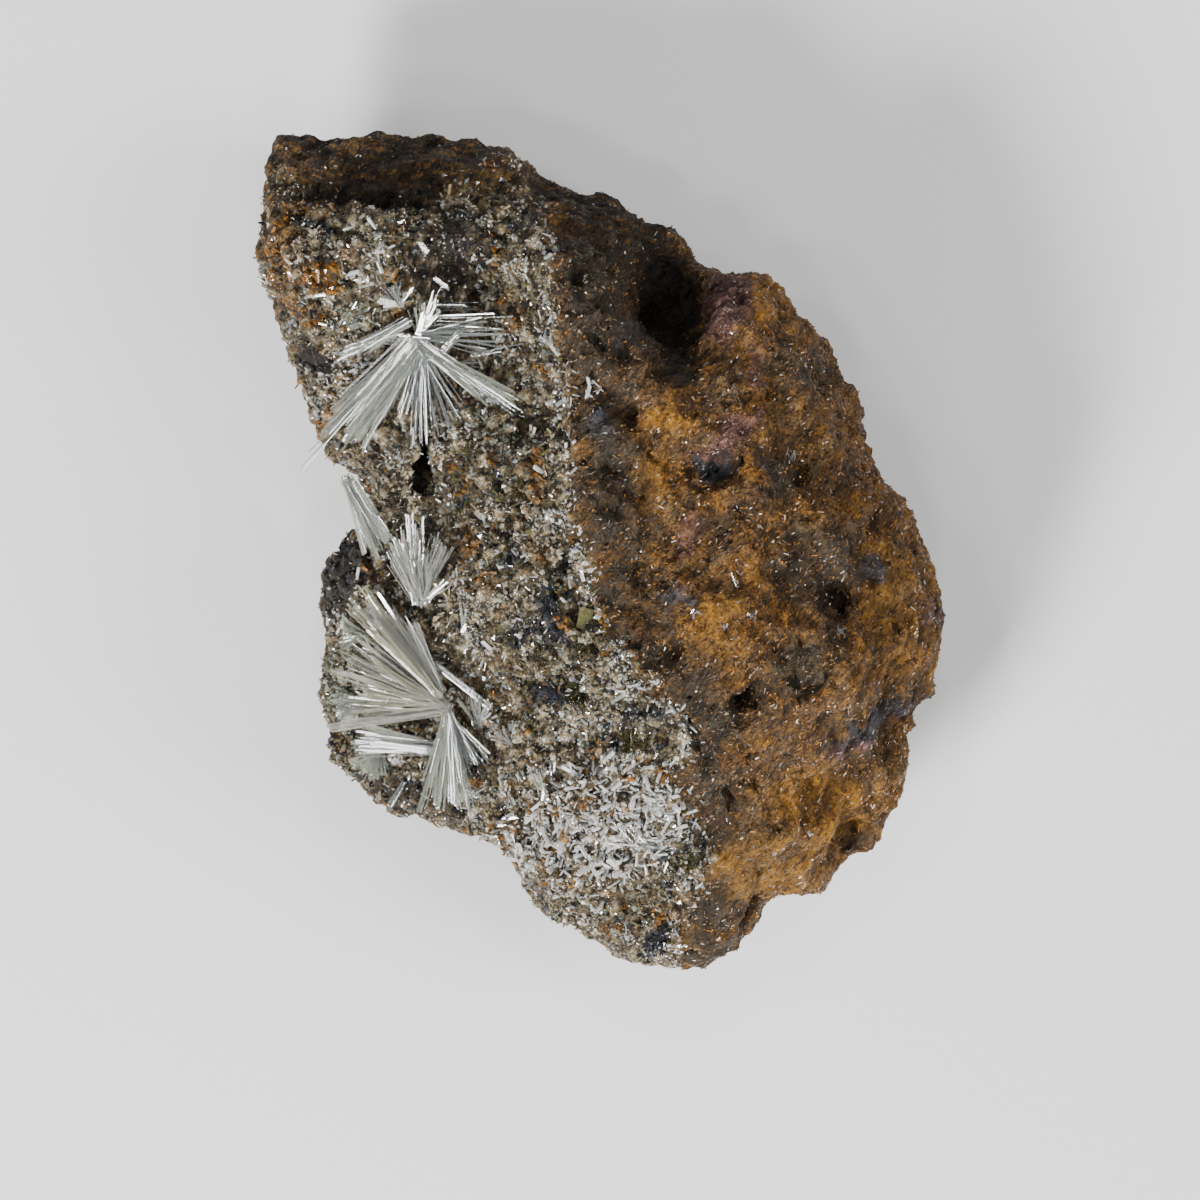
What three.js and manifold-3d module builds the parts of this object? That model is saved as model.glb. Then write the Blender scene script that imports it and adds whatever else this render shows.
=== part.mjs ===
// A hand-sized specimen of scholzite, lying on its back with its crystals facing up.
//
// One block of rusty gossan carries everything. Its left half is a sugary druse of small flat blades,
// its right half is bare iron-stained rock with pits, ledges and one deep hollow. Four sprays of long
// needle crystals stand on the druse, each grown from its own point.
//
// Millimetres. +Y runs along the block's length, +X across it, +Z up, away from the surface it lies on.
// The origin is the middle of the block's footprint, on that surface.
import * as THREE from "three";
import { ImprovedNoise } from "three/addons/math/ImprovedNoise.js";
import { mergeVertices } from "three/addons/utils/BufferGeometryUtils.js";
import Module from "manifold-3d";

const wasm = await Module();
wasm.setup();

// Driving dimensions of the block.
const CENTRE = new THREE.Vector2(2, -1); // every point of the outline is seen from here
const RIM_HEIGHT = 15; // height of the block's widest section above the surface it lies on
const RIM_WAVE = 4; // how far the rim rises and dips
const FLAT_DEPTH = 2; // how much of the rounded underside is worn off level
const GAP = 0.35; // clearance between a spray and the block under it
const BED_DEPTH = 1.7; // how far the face lies below the needles that stand over it
const BED_SLOPE = 1.1; // how steeply the face climbs away from them

// How finely the block is faceted: rings of points from its middle out to its rim.
const RINGS = 16;
const SECTORS = 6;

// The block's outline seen from above, clockwise from its top left corner.
const OUTLINE = [
  [-32.0, 37.0], [-30.5, 38.7], [-28.6, 39.9], [-25.8, 39.6], [-23.7, 38.9], [-20.5, 39.6],
  [-17.9, 39.5], [-14.9, 38.6], [-9.3, 39.0], [-7.1, 36.6], [-3.2, 33.9], [0.8, 33.2],
  [7.3, 29.6], [10.9, 26.2], [12.9, 26.5], [16.2, 25.7], [19.3, 22.1], [21.8, 18.7],
  [23.0, 15.9], [24.9, 14.6], [25.5, 9.6], [27.0, 6.3], [29.7, 4.0], [31.0, -1.1],
  [33.2, -6.2], [32.4, -7.9], [32.6, -9.6], [31.2, -14.8], [29.3, -16.0], [28.9, -19.3],
  [29.2, -22.8], [27.4, -25.3], [25.3, -29.6], [23.9, -29.2], [21.0, -33.0], [16.6, -33.2],
  [14.5, -35.3], [14.7, -36.5], [13.1, -38.8], [10.8, -40.0], [4.2, -40.0], [1.4, -39.0],
  [0.1, -37.3], [-2.5, -36.7], [-6.2, -34.5], [-7.5, -32.0], [-8.9, -28.6], [-13.3, -27.1],
  [-18.1, -25.8], [-20.5, -25.2], [-22.1, -22.9], [-26.1, -20.3], [-26.8, -14.3], [-26.3, -8.9],
  [-27.0, -3.4], [-25.8, -0.9], [-23.0, 2.2], [-21.2, 5.0], [-25.8, 8.7], [-28.0, 12.2],
  [-28.6, 15.4], [-30.0, 18.7], [-32.9, 26.5], [-33.2, 29.0], [-32.3, 31.5], [-31.9, 35.4],
];

// Heights of the upper face at chosen places, [x, y, height]. The face between them is blended.
const FACE_HEIGHTS = [
  // the dark shelf along the top and the blunt upper left corner
  [-28, 36, 23], [-18, 36, 26], [-10, 35, 27], [-2, 31, 28], [5, 29, 27],
  // the sugary bulge below the shelf, and the pocket that holds the upper spray
  [-27, 28, 29], [-20, 28, 31], [-12, 25, 25], [-27, 18, 25], [-16, 20, 25], [-16, 14, 27],
  // the crest that parts the druse from the bare rock
  [-6, 26, 32], [-4, 20, 34], [-3, 12, 35], [-2, 2, 36], [-1, -8, 36], [6, -16, 36],
  // the druse falling away to the left, down to the bed of the lower spray
  [-10, 10, 31], [-17, 8, 27], [-12, 2, 32], [-19, -2, 26], [-24, -4, 25], [-9, -6, 32],
  [-14, -8, 29], [-20, -12, 22], [-15, -15, 24], [-9, -17, 29], [-18, -21, 21], [-24, -17, 20],
  // the druse at the foot of the block
  [-3, -21, 33], [-4, -30, 28], [3, -27, 32], [5, -36, 25], [11, -34, 28],
  // the bare rock, nearly level and then falling to the right edge
  [8, 20, 32], [14, 20, 32], [6, 10, 34], [12, 8, 35], [19, 8, 32], [10, -4, 36],
  [20, -4, 34], [28, -4, 28], [14, -14, 36], [22, -13, 34], [29, -13, 28], [16, -27, 32],
  [23, -22, 30], [25, -26, 25],
];
const FACE_BLEND = 2.5; // distance over which one chosen height gives way to the next

// Smooth hollows: [x, y, half width, half length, turn in degrees, depth].
const HOLLOWS = [
  [6.2, 23.4, 4.8, 6.6, 14, 14], // the deep shadowed hollow by the upper right edge
  [-11.5, 25.5, 4.5, 3.4, 20, 3], // the dark dip above the upper spray
  [9.8, 8.2, 3.2, 2.2, 30, 2.5], // a shallow scar on the bare face
  [19, -24, 5, 3, -20, 2.5], // the scooped floor under the lower right ledge
];

// Broken steps: [x1, y1, x2, y2, change, reach]. The height changes on the right of the line from 1 to 2.
const STEPS = [
  [19.5, -20.4, 34, -14, -3.0, 7], // the overhanging ledge at the lower right
  [-8, 30.5, -33, 33.2, -3.4, 8], // the shelf's front edge, with the block stepping down above it
  [12, 19, 13, 30, 2.2, 6], // the reddish edge beside the hollow
  [8, -1, -5, 27, -1.6, 6], // the crest line, with the druse lying lower on its left
];

// Pits: [x, y, half width, half length, turn in degrees, depth].
const PITS = [
  [22.4, -5.2, 2.0, 1.7, 20, 3.2],
  [13.6, -15.0, 1.2, 3.2, -28, 3.0],
  [24.0, -27.2, 2.3, 2.0, 15, 4.0],
  [-16.6, 7.4, 0.9, 3.6, -8, 4.0],
  [18.4, 6.8, 1.4, 1.8, 0, 2.2],
  [13.3, 23.8, 1.9, 0.9, -30, 2.4],
  [-3.6, -13.2, 3.0, 1.5, 10, 2.0],
  [-2.4, -5.4, 1.5, 2.4, 20, 2.0],
];

// Druse: areas covered with flat blades, [x, y, half width, half length, blades, size].
const DRUSE = [
  [-25, 26, 6, 6, 12, 0.9],
  [-4, 21, 3.5, 6, 8, 0.9],
  [-8, 9, 5, 6, 10, 0.9],
  [-17, 6, 4, 3, 4, 0.9],
  [-9, -4, 6, 6, 10, 0.9],
  [1, -12, 4, 5, 8, 1],
  [-4, -24, 7, 6, 22, 1.3],
  [3, -31, 6, 5, 11, 1.2],
];
const BLADE = { length: 3.2, width: 1.3, thickness: 0.6 };
const NEEDLE_FOOT = 0.35; // width of a needle at its foot, as a share of its full width

// Sprays of needles. Each has a root, [x, y, z], and a small knob there. A fan runs from the root, or
// from its own offset start: [dx, dy, from degrees, to degrees, length, rise in degrees, needles, width].
// Degrees count from +X towards +Y, seen from above, and rise is the climb away from the block.
const SPRAYS = {
  upper_spray: {
    root: [-16.4, 19.6, 25.5],
    knob: 1.1,
    fans: [
      [0, 0, 216, 238, 14.0, 3, 7, 1.0], // the broad sheaf to the lower left
      [0, 0, 227, 229, 17.2, 3, 1, 0.7], // its longest needle, out past the block's edge
      [0.2, 0, 318, 330, 11.5, 12, 4, 0.8], // the bright bundle to the lower right
      [0, 0, 258, 296, 8.5, 8, 5, 0.7],
      [0, 0.6, 188, 208, 8.0, 10, 4, 0.6],
      [0, 0.5, -14, 14, 9.5, 14, 4, 0.6],
      [0, 0.8, 50, 96, 5.0, 20, 3, 0.6],
      [-3.0, 0.3, -6, -4, 7.0, 8, 1, 0.7],
    ],
  },
  edge_sheaf: {
    root: [-24.0, 6.4, 26.5],
    knob: 0.6,
    fans: [
      [0, 0, 283, 311, 7.6, -8, 6, 1.0], // one sheaf, broken so that its narrow end points out of the notch
    ],
  },
  middle_spray: {
    root: [-16.4, -4.6, 27.5],
    knob: 1.0,
    fans: [
      [0, 0, 58, 124, 6.6, 14, 8, 0.8],
      [-0.4, 2.6, 82, 94, 7.4, 8, 2, 0.6],
      [0.6, -0.6, 60, 100, 3.6, 24, 3, 0.5],
    ],
  },
  lower_spray: {
    root: [-14.6, -14.6, 25],
    knob: 1.3,
    fans: [
      [-0.6, 1.6, 125, 137, 12.6, 10, 5, 1.0], // the long cream fan to the upper left
      [-0.6, 1.6, 112, 125, 9.4, 12, 4, 0.9],
      [0, 0, 146, 186, 11.8, 4, 9, 0.8], // the fine fan spread to the left
      [-1.0, -3.4, 164, 184, 7.8, 12, 6, 0.9], // the bright white sheaf
      [0, 0, 254, 284, 9.6, 6, 7, 0.8], // the sheaf hanging to the foot
      [0.4, -0.6, 296, 318, 6.0, 10, 4, 0.5],
      [-1.2, 3.6, 320, 326, 6.8, 10, 2, 0.7],
      [0.6, -8.9, 28, 30, 5.2, 16, 1, 0.7],
      [-7.0, 5.0, 324, 326, 4.4, 14, 1, 0.7],
    ],
  },
};

const noise = new ImprovedNoise();

// A repeatable stream of random numbers from 0 to 1.
function randomStream(seed) {
  let state = seed;
  return () => {
    state = (state + 0x6d2b79f5) | 0;
    let t = Math.imul(state ^ (state >>> 15), 1 | state);
    t = (t + Math.imul(t ^ (t >>> 7), 61 | t)) ^ t;
    return ((t ^ (t >>> 14)) >>> 0) / 4294967296;
  };
}

// Distance from the centre to the outline in the direction of an angle.
function outlineReach(angle) {
  const way = new THREE.Vector2(Math.cos(angle), Math.sin(angle));
  for (let i = 0; i < OUTLINE.length; i++) {
    const a = new THREE.Vector2(...OUTLINE[i]).sub(CENTRE);
    const side = new THREE.Vector2(...OUTLINE[(i + 1) % OUTLINE.length]).sub(CENTRE).sub(a);
    const turn = way.cross(side);
    const reach = a.cross(side) / turn;
    const share = a.cross(way) / turn;
    if (reach > 0 && share >= 0 && share <= 1) return reach;
  }
  throw new Error("the outline is open at " + angle);
}

// How far into an upright oval a point lies: 1 at its middle, 0 at its edge and beyond.
function insideOval(x, y, [cx, cy, halfWidth, halfLength, degrees = 0]) {
  const turn = THREE.MathUtils.degToRad(-degrees);
  const dx = (x - cx) * Math.cos(turn) - (y - cy) * Math.sin(turn);
  const dy = (x - cx) * Math.sin(turn) + (y - cy) * Math.cos(turn);
  const share = Math.hypot(dx / halfWidth, dy / halfLength);
  return THREE.MathUtils.smoothstep(1.2 - share, 0, 0.7);
}

// The drop of a broken step at a point: full just past its line, fading out with distance.
function stepDrop(x, y, [x1, y1, x2, y2, drop, reach]) {
  const length = Math.hypot(x2 - x1, y2 - y1);
  const along = ((x - x1) * (x2 - x1) + (y - y1) * (y2 - y1)) / length;
  const across = ((x - x1) * (y2 - y1) - (y - y1) * (x2 - x1)) / length;
  if (along < 0 || along > length || across < 0 || across > reach) return 0;
  return drop * Math.min(1, across / 0.8) * (1 - across / reach);
}

// Height of the bed that a fan of needles leaves in the face: a trough below them with sloping walls.
function bedHeight(x, y, [rootX, rootY, rootZ], [dx, dy, from, to, length, rise]) {
  const middle = THREE.MathUtils.degToRad((from + to) / 2);
  const spread = Math.tan(THREE.MathUtils.degToRad((to - from) / 2));
  const [ax, ay] = [x - rootX - dx, y - rootY - dy];
  const along = ax * Math.cos(middle) + ay * Math.sin(middle);
  const across = Math.abs(ax * Math.sin(middle) - ay * Math.cos(middle));
  const beside = Math.max(0, across - 1 - Math.max(0, along) * spread);
  const beyond = Math.max(0, along - length, -1.5 - along);
  const climb = Math.max(0, along) * Math.tan(THREE.MathUtils.degToRad(rise));
  return rootZ + climb - BED_DEPTH + BED_SLOPE * Math.hypot(beside, beyond);
}

// Height of the upper face before its roughness.
function faceHeight(x, y) {
  let sum = 0;
  let weights = 0;
  for (const [px, py, height] of FACE_HEIGHTS) {
    const weight = 1 / ((x - px) ** 2 + (y - py) ** 2 + FACE_BLEND ** 2) ** 2;
    sum += weight * height;
    weights += weight;
  }
  let height = sum / weights;
  for (const hollow of HOLLOWS) height -= hollow[5] * insideOval(x, y, hollow);
  for (const step of STEPS) height += stepDrop(x, y, step);
  for (const { root, fans } of Object.values(SPRAYS))
    for (const fan of fans) height = Math.min(height, bedHeight(x, y, root, fan));
  return height;
}

// A point of the block's skin. Ring 0 is the middle and the last ring is the rim; side is +1 for the
// upper face and -1 for the underside.
function skinPoint(ring, step, side) {
  const angle = ring ? (2 * Math.PI * step) / (SECTORS * ring) : 0;
  const share = 1 - (1 - ring / RINGS) ** 2;
  const reach = outlineReach(angle) * share;
  const x = CENTRE.x + reach * Math.cos(angle);
  const y = CENTRE.y + reach * Math.sin(angle);
  const rim = RIM_HEIGHT + RIM_WAVE * noise.noise(2 * Math.cos(angle), 2 * Math.sin(angle), 0.5);
  if (side > 0) return [x, y, rim + (faceHeight(x, y) - rim) * Math.sqrt(1 - share ** 5)];
  return [x, y, rim - (rim + FLAT_DEPTH) * (1 - share ** 2) ** 0.7];
}

// The block's closed skin as an indexed geometry.
function skinGeometry() {
  const points = [];
  const faces = [];
  const firstOf = (ring) => (ring ? 1 + (SECTORS * ring * (ring - 1)) / 2 : 0);
  const upperCount = firstOf(RINGS + 1);
  const at = (side, ring, step) => {
    const place = firstOf(ring) + (ring ? step % (SECTORS * ring) : 0);
    return side > 0 || ring === RINGS ? place : upperCount + place;
  };
  for (let ring = 0; ring <= RINGS; ring++)
    for (let step = 0; step < Math.max(1, SECTORS * ring); step++) points.push(...skinPoint(ring, step, 1));
  for (let ring = 0; ring < RINGS; ring++)
    for (let step = 0; step < Math.max(1, SECTORS * ring); step++) points.push(...skinPoint(ring, step, -1));
  const face = (side, a, b, c) => faces.push(...(side > 0 ? [a, b, c] : [a, c, b]));
  for (const side of [1, -1])
    for (let ring = 1; ring <= RINGS; ring++)
      for (let sector = 0; sector < SECTORS; sector++)
        for (let j = 0; j < ring; j++) {
          const outer = sector * ring + j;
          const inner = sector * (ring - 1) + j;
          face(side, at(side, ring - 1, inner), at(side, ring, outer), at(side, ring, outer + 1));
          if (j < ring - 1)
            face(side, at(side, ring - 1, inner), at(side, ring, outer + 1), at(side, ring - 1, inner + 1));
        }
  const skin = new THREE.BufferGeometry();
  skin.setAttribute("position", new THREE.Float32BufferAttribute(points, 3));
  skin.setIndex(faces);
  skin.computeVertexNormals();
  return skin;
}

// Lumps, ridges and slanting ledges of the broken rock, in millimetres along the skin's normal.
function roughness(x, y, z) {
  const lumps = 1.9 * noise.noise(x / 8, y / 8, z / 8) + 1.2 * noise.noise(x / 3.7 + 9, y / 3.7, z / 3.7);
  const ridge = 1.4 * (0.4 - Math.abs(noise.noise(x / 5 + 40, y / 5, z / 5)));
  const layer = (y - 0.45 * x + 3 * noise.noise(x / 11, y / 11 + 7, z / 11)) / 6.5;
  const ledge = 1.1 * (layer - Math.floor(layer) - 0.5);
  return lumps + ridge + ledge;
}

// The block with its roughness, grown outwards by a margin.
function rockGeometry(margin) {
  const rock = skinGeometry();
  const place = rock.getAttribute("position");
  const normal = rock.getAttribute("normal");
  const moved = [];
  for (let i = 0; i < place.count; i++) {
    const [x, y, z] = [place.getX(i), place.getY(i), place.getZ(i)];
    const reach = Math.hypot(x - CENTRE.x, y - CENTRE.y);
    const edge = outlineReach(Math.atan2(y - CENTRE.y, x - CENTRE.x));
    const fade = 1 - 0.85 * Math.min(1, reach / edge) ** 10;
    const rough = roughness(x, y, z) * fade + margin;
    moved.push(x + normal.getX(i) * rough, y + normal.getY(i) * rough);
    moved.push(Math.max(-margin, z + normal.getZ(i) * rough));
  }
  rock.setAttribute("position", new THREE.Float32BufferAttribute(moved, 3));
  rock.deleteAttribute("normal");
  return rock;
}

// A closed geometry as a solid that can be joined and cut.
function solidOf(geometry) {
  const bare = new THREE.BufferGeometry();
  bare.setAttribute("position", geometry.getAttribute("position"));
  if (geometry.index) bare.setIndex(geometry.index);
  const merged = mergeVertices(bare, 1e-4);
  return new wasm.Manifold(
    new wasm.Mesh({
      numProp: 3,
      vertProperties: merged.getAttribute("position").array,
      triVerts: new Uint32Array(merged.index.array),
    }),
  );
}

// A solid as a geometry for a mesh.
function geometryOf(solid) {
  const { numProp, vertProperties, triVerts } = solid.getMesh();
  const points = [];
  for (let i = 0; i < vertProperties.length; i += numProp) points.push(...vertProperties.subarray(i, i + 3));
  const geometry = new THREE.BufferGeometry();
  geometry.setAttribute("position", new THREE.Float32BufferAttribute(points, 3));
  geometry.setIndex(Array.from(triVerts));
  return geometry;
}

// The largest body of a solid, without the crumbs that a cut leaves.
function largestBody(solid) {
  return solid.decompose().reduce((best, body) => (body.volume() > best.volume() ? body : best));
}

// Where a vertical line meets the top of a geometry, with the surface's normal there.
function surfaceAt(geometry, x, y) {
  const ray = new THREE.Raycaster(new THREE.Vector3(x, y, 100), new THREE.Vector3(0, 0, -1));
  const hit = ray.intersectObject(new THREE.Mesh(geometry))[0];
  return hit && { point: hit.point, normal: hit.face.normal };
}

// A pit's cutter: a rough lens sunk into the face.
function pitGeometry(face, [x, y, halfWidth, halfLength, degrees, depth]) {
  const lens = new THREE.IcosahedronGeometry(1, 1);
  const { point } = surfaceAt(face, x, y);
  const pose = new THREE.Matrix4()
    .makeTranslation(x, y, point.z)
    .multiply(new THREE.Matrix4().makeRotationZ(THREE.MathUtils.degToRad(degrees)))
    .multiply(new THREE.Matrix4().makeScale(halfWidth, halfLength, depth));
  return lens.applyMatrix4(pose);
}

// A long crystal from a start along a direction, narrow at its foot and with a slanted end.
function needleGeometry(start, direction, length, width, twist) {
  const thickness = 0.7 * width;
  const needle = new THREE.BoxGeometry(width, thickness, length);
  needle.translate(0, 0, length / 2);
  const place = needle.getAttribute("position");
  for (let i = 0; i < place.count; i++) {
    if (place.getZ(i) > length / 2) place.setZ(i, length - (place.getX(i) > 0 ? 0.9 * width : 0));
    else place.setXYZ(i, NEEDLE_FOOT * place.getX(i), NEEDLE_FOOT * place.getY(i), 0);
  }
  const turn = new THREE.Quaternion().setFromUnitVectors(new THREE.Vector3(0, 0, 1), direction);
  needle.applyMatrix4(new THREE.Matrix4().makeRotationZ(twist));
  needle.applyQuaternion(turn);
  return needle.translate(start.x, start.y, start.z);
}

// One small flat blade of the druse, rooted in the face and leaning at random.
function bladeGeometry(hit, scale, random) {
  const lean = new THREE.Vector3(random() - 0.5, random() - 0.5, random() - 0.5).multiplyScalar(2.2);
  const direction = hit.normal.clone().add(lean).normalize();
  if (direction.z < 0.25) direction.setZ(0.25).normalize();
  const size = scale * (0.7 + 0.6 * random());
  const blade = new THREE.BoxGeometry(BLADE.width * size, BLADE.thickness * size, BLADE.length * size);
  const turn = new THREE.Quaternion().setFromUnitVectors(new THREE.Vector3(0, 0, 1), direction);
  blade.translate(0, 0, 0.2 * BLADE.length * size);
  blade.applyMatrix4(new THREE.Matrix4().makeRotationZ(Math.PI * random()));
  return blade.applyQuaternion(turn).translate(hit.point.x, hit.point.y, hit.point.z);
}

// True where a spray stands, so that no blade of the druse grows into it.
function underSpray(x, y) {
  return Object.values(SPRAYS).some(({ root, fans }) =>
    fans.some(([dx, dy, from, to, length]) => {
      const [ax, ay] = [root[0] + dx, root[1] + dy];
      const middle = THREE.MathUtils.degToRad((from + to) / 2);
      const along = (x - ax) * Math.cos(middle) + (y - ay) * Math.sin(middle);
      const across = Math.abs((x - ax) * Math.sin(middle) - (y - ay) * Math.cos(middle));
      const spread = Math.tan(THREE.MathUtils.degToRad((to - from) / 2));
      return along > -4 && along < length + 3 && across < 3.2 + Math.max(0, along) * spread;
    }),
  );
}

// The rock with its pits cut and its druse grown on.
function buildBlock() {
  const rock = rockGeometry(0);
  let block = solidOf(rock);
  for (const pit of PITS) block = block.subtract(solidOf(pitGeometry(rock, pit)));
  const random = randomStream(7);
  for (const [x, y, halfWidth, halfLength, count, scale] of DRUSE)
    for (let i = 0; i < count; i++) {
      const bx = x + halfWidth * (2 * random() - 1);
      const by = y + halfLength * (2 * random() - 1);
      const hit = surfaceAt(rock, bx, by);
      if (!hit || underSpray(bx, by)) continue;
      block = block.add(solidOf(bladeGeometry(hit, scale, random)));
    }
  return largestBody(block);
}

// One spray: a small knob and its fans of needles, cut clear of the block below. A fan that starts
// beside the root is tied to it by one more crystal.
function buildSpray({ root, knob, fans }, seed, grownRock) {
  const random = randomStream(seed);
  const foot = new THREE.Vector3(...root);
  const nucleus = new THREE.IcosahedronGeometry(knob, 0).scale(1, 1, 0.7).translate(foot.x, foot.y, foot.z);
  let spray = solidOf(nucleus);
  for (const [dx, dy, from, to, length, rise, needles, width] of fans) {
    const offset = new THREE.Vector3(dx, dy, 0);
    const start = foot.clone().add(offset);
    if (offset.length() > 0.5 * knob) {
      const tie = needleGeometry(foot, offset.clone().normalize(), offset.length() + width, 1.2 * width, 0);
      spray = spray.add(solidOf(tie));
    }
    for (let i = 0; i < needles; i++) {
      const share = needles > 1 ? i / (needles - 1) : 0.5;
      const turn = THREE.MathUtils.degToRad(from + (to - from) * share);
      const climb = THREE.MathUtils.degToRad(rise + 7 * (random() - 0.5));
      const direction = new THREE.Vector3(
        Math.cos(turn) * Math.cos(climb),
        Math.sin(turn) * Math.cos(climb),
        Math.sin(climb),
      );
      const reach = length * (0.82 + 0.18 * random());
      const needle = needleGeometry(start, direction, reach, width, 3 * random());
      spray = spray.add(solidOf(needle));
    }
  }
  return largestBody(spray.subtract(grownRock));
}

const rockFinish = new THREE.MeshStandardMaterial({ color: 0x7a4f22, roughness: 0.85, metalness: 0 });
const crystalFinish = new THREE.MeshStandardMaterial({ color: 0xd9dccb, roughness: 0.2, metalness: 0 });

function addMesh(group, name, solid, finish) {
  const mesh = new THREE.Mesh(geometryOf(solid), finish);
  mesh.name = name;
  group.add(mesh);
}

const specimen = new THREE.Group();
addMesh(specimen, "matrix", buildBlock(), rockFinish);
const grownRock = solidOf(rockGeometry(GAP));
Object.entries(SPRAYS).forEach(([name, spray], i) => {
  addMesh(specimen, name, buildSpray(spray, 11 + i, grownRock), crystalFinish);
});

export default specimen;
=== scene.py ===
import math

import bmesh
import bpy
import numpy as np
from mathutils import Matrix, Vector, noise


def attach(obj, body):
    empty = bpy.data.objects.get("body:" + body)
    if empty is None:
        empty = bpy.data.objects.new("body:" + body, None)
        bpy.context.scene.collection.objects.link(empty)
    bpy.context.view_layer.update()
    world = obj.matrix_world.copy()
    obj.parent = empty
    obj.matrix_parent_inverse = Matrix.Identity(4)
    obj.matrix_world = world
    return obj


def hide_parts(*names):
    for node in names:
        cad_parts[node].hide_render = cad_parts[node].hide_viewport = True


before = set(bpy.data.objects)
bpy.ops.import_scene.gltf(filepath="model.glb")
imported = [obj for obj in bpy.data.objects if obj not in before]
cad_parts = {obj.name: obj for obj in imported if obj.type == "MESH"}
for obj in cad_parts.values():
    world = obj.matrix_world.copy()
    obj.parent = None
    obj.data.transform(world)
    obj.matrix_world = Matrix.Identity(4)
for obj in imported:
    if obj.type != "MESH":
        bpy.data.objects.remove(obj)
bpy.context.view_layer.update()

MM = 0.001

# The view: straight down on the crystal face.
PHOTO_SPAN = 113.8 * MM  # width of the picture at the height of the block's face
FACE_LEVEL = 24 * MM
CAMERA_HEIGHT = 900 * MM
CAMERA_PLACE = Vector((0, -5.0 * MM, FACE_LEVEL + CAMERA_HEIGHT))

# The lights: a soft key at the lower left, a softer side light, and a ring of small weak lamps around the
# view that the crystals' flat faces throw back as glints.
KEY_PLACE = Vector((-0.32, -0.40, 0.42))
KEY_SIZE = 0.18
KEY_POWER = 12.5  # watts
SIDE_PLACE = Vector((0.45, -0.05, 0.45))
SIDE_SIZE = 0.30
SIDE_POWER = 4.2
RING_TURNS = (12, 84, 150, 205, 276)  # degrees from +X towards +Y
RING_TILT = 20  # degrees off the view's axis
RING_DISTANCE = 0.6
RING_SIZE = 0.05
RING_POWER = 0.5
FILL = 0.15  # strength of the even light from all around
AIM = Vector((0, 0, 20 * MM))
FLOOR_SIZE = 6

# The rock's skin, moulded on the CAD solid.
VOXEL = 0.43 * MM
SMOOTHING = 14  # rounds
FLOOR_GAP = 0.02 * MM
NORMAL_ROUNDS = 8  # rounds of taking the mean of the normals around each point
HORN = 0.42  # a point whose mean normal is shorter than this sits on something thin
HORN_GROWTH = 9  # rounds by which the thin places then spread
HORN_SHRINK = 6  # rounds by which they draw in again
HORN_STEPS = 250  # rounds of flattening them

# Its roughness: how deep each kind of unevenness is, and how large.
LUMP_DEPTH = 0.85 * MM
LUMP = 1.9 * MM  # size of the druse's rounded lumps
GRAIN_DEPTH = 0.16 * MM
GRAIN_SIZE = 0.9 * MM
CRUMBLE_DEPTH = 0.55 * MM
CRUMBLE_SIZE = 2.8 * MM
BREAK_DEPTH = 1.0 * MM
BREAK_SIZE = 6.0 * MM
FIBRE_DEPTH = 0.36 * MM
FIBRE_SIZE = 0.9 * MM
FIBRE_WAY = (0.6, 0.8, 0.1)  # the direction that the bare rock's fibres run in
LAYER_DEPTH = 0.7 * MM
LAYER_SIZE = 1.3 * MM
LAYER_WAY = (1, -0.08, 0)
SHELF_DEPTH = 0.45 * MM  # how far the shelf's relief reaches in at most
POCK_DEPTH = 0.8 * MM
POCK_SIZE = 2.2 * MM
RAG_DEPTH = 0.9 * MM  # of the ragged edges round dark places and gaps
RAG_SIZE = 1.5 * MM
GAP_DEPTH = 1.3 * MM
# Painted shade: crevices are darkened in colour over this much relief.
CREVICE_DEPTH = 1.1 * MM  # the relief over which a crevice darkens

# The needles. Lengths in mm, as in the sprays' lists.
FEW = 6  # a fan of up to so many needles is small, and is made of laths
LATHS = 2  # laths in the place of each needle of a small fan
LATH_WIDTH = 0.6  # a lath's width, as a share of the needle's
LATH_SHARE = 0.62  # share of a small fan's laths that catch the light
BRIGHT_SHARE = 0.05  # share of a big fan's sheaves that catch the light
LATH_LIFT = 0.3  # how far laths lie above the needles of the big fans
LATH_TURN = 12  # degrees that a lath may climb or dip to catch the light
NEEDLE_TURN = 2  # the same for other needles
BROAD = 0.9  # from which width a crystal is a dull lens and no bright lath
SHEAF = 7  # needles that grow side by side in a big fan
ROOT_REACH = 3.2  # from a spray's root, within which needles grow out of the root itself
FOOT_RISE = 0.3  # from the bare rock up to a needle's foot in the druse
TUFT_SINK = 0.05  # how deep a tuft's foot sits in the rock

# The crest line that parts the druse, on its left, from the bare rusty rock: x and y in mm, top to bottom.
CREST = [
    (-3.0, 45.0), (-5.0, 28.5), (-3.2, 14.0), (-2.4, 4.5), (0.0, -7.0), (5.0, -13.6),
    (8.0, -17.0), (6.0, -22.0), (10.5, -28.5), (8.0, -34.0), (6.5, -45.0),
]

# How far the edges of the regions below wander, by a large and a small wobble: (size, reach).
WOBBLES = ((3.2 * MM, 1.5 * MM), (0.9 * MM, 0.5 * MM))
WOBBLE_SEED = 1795865064
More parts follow.
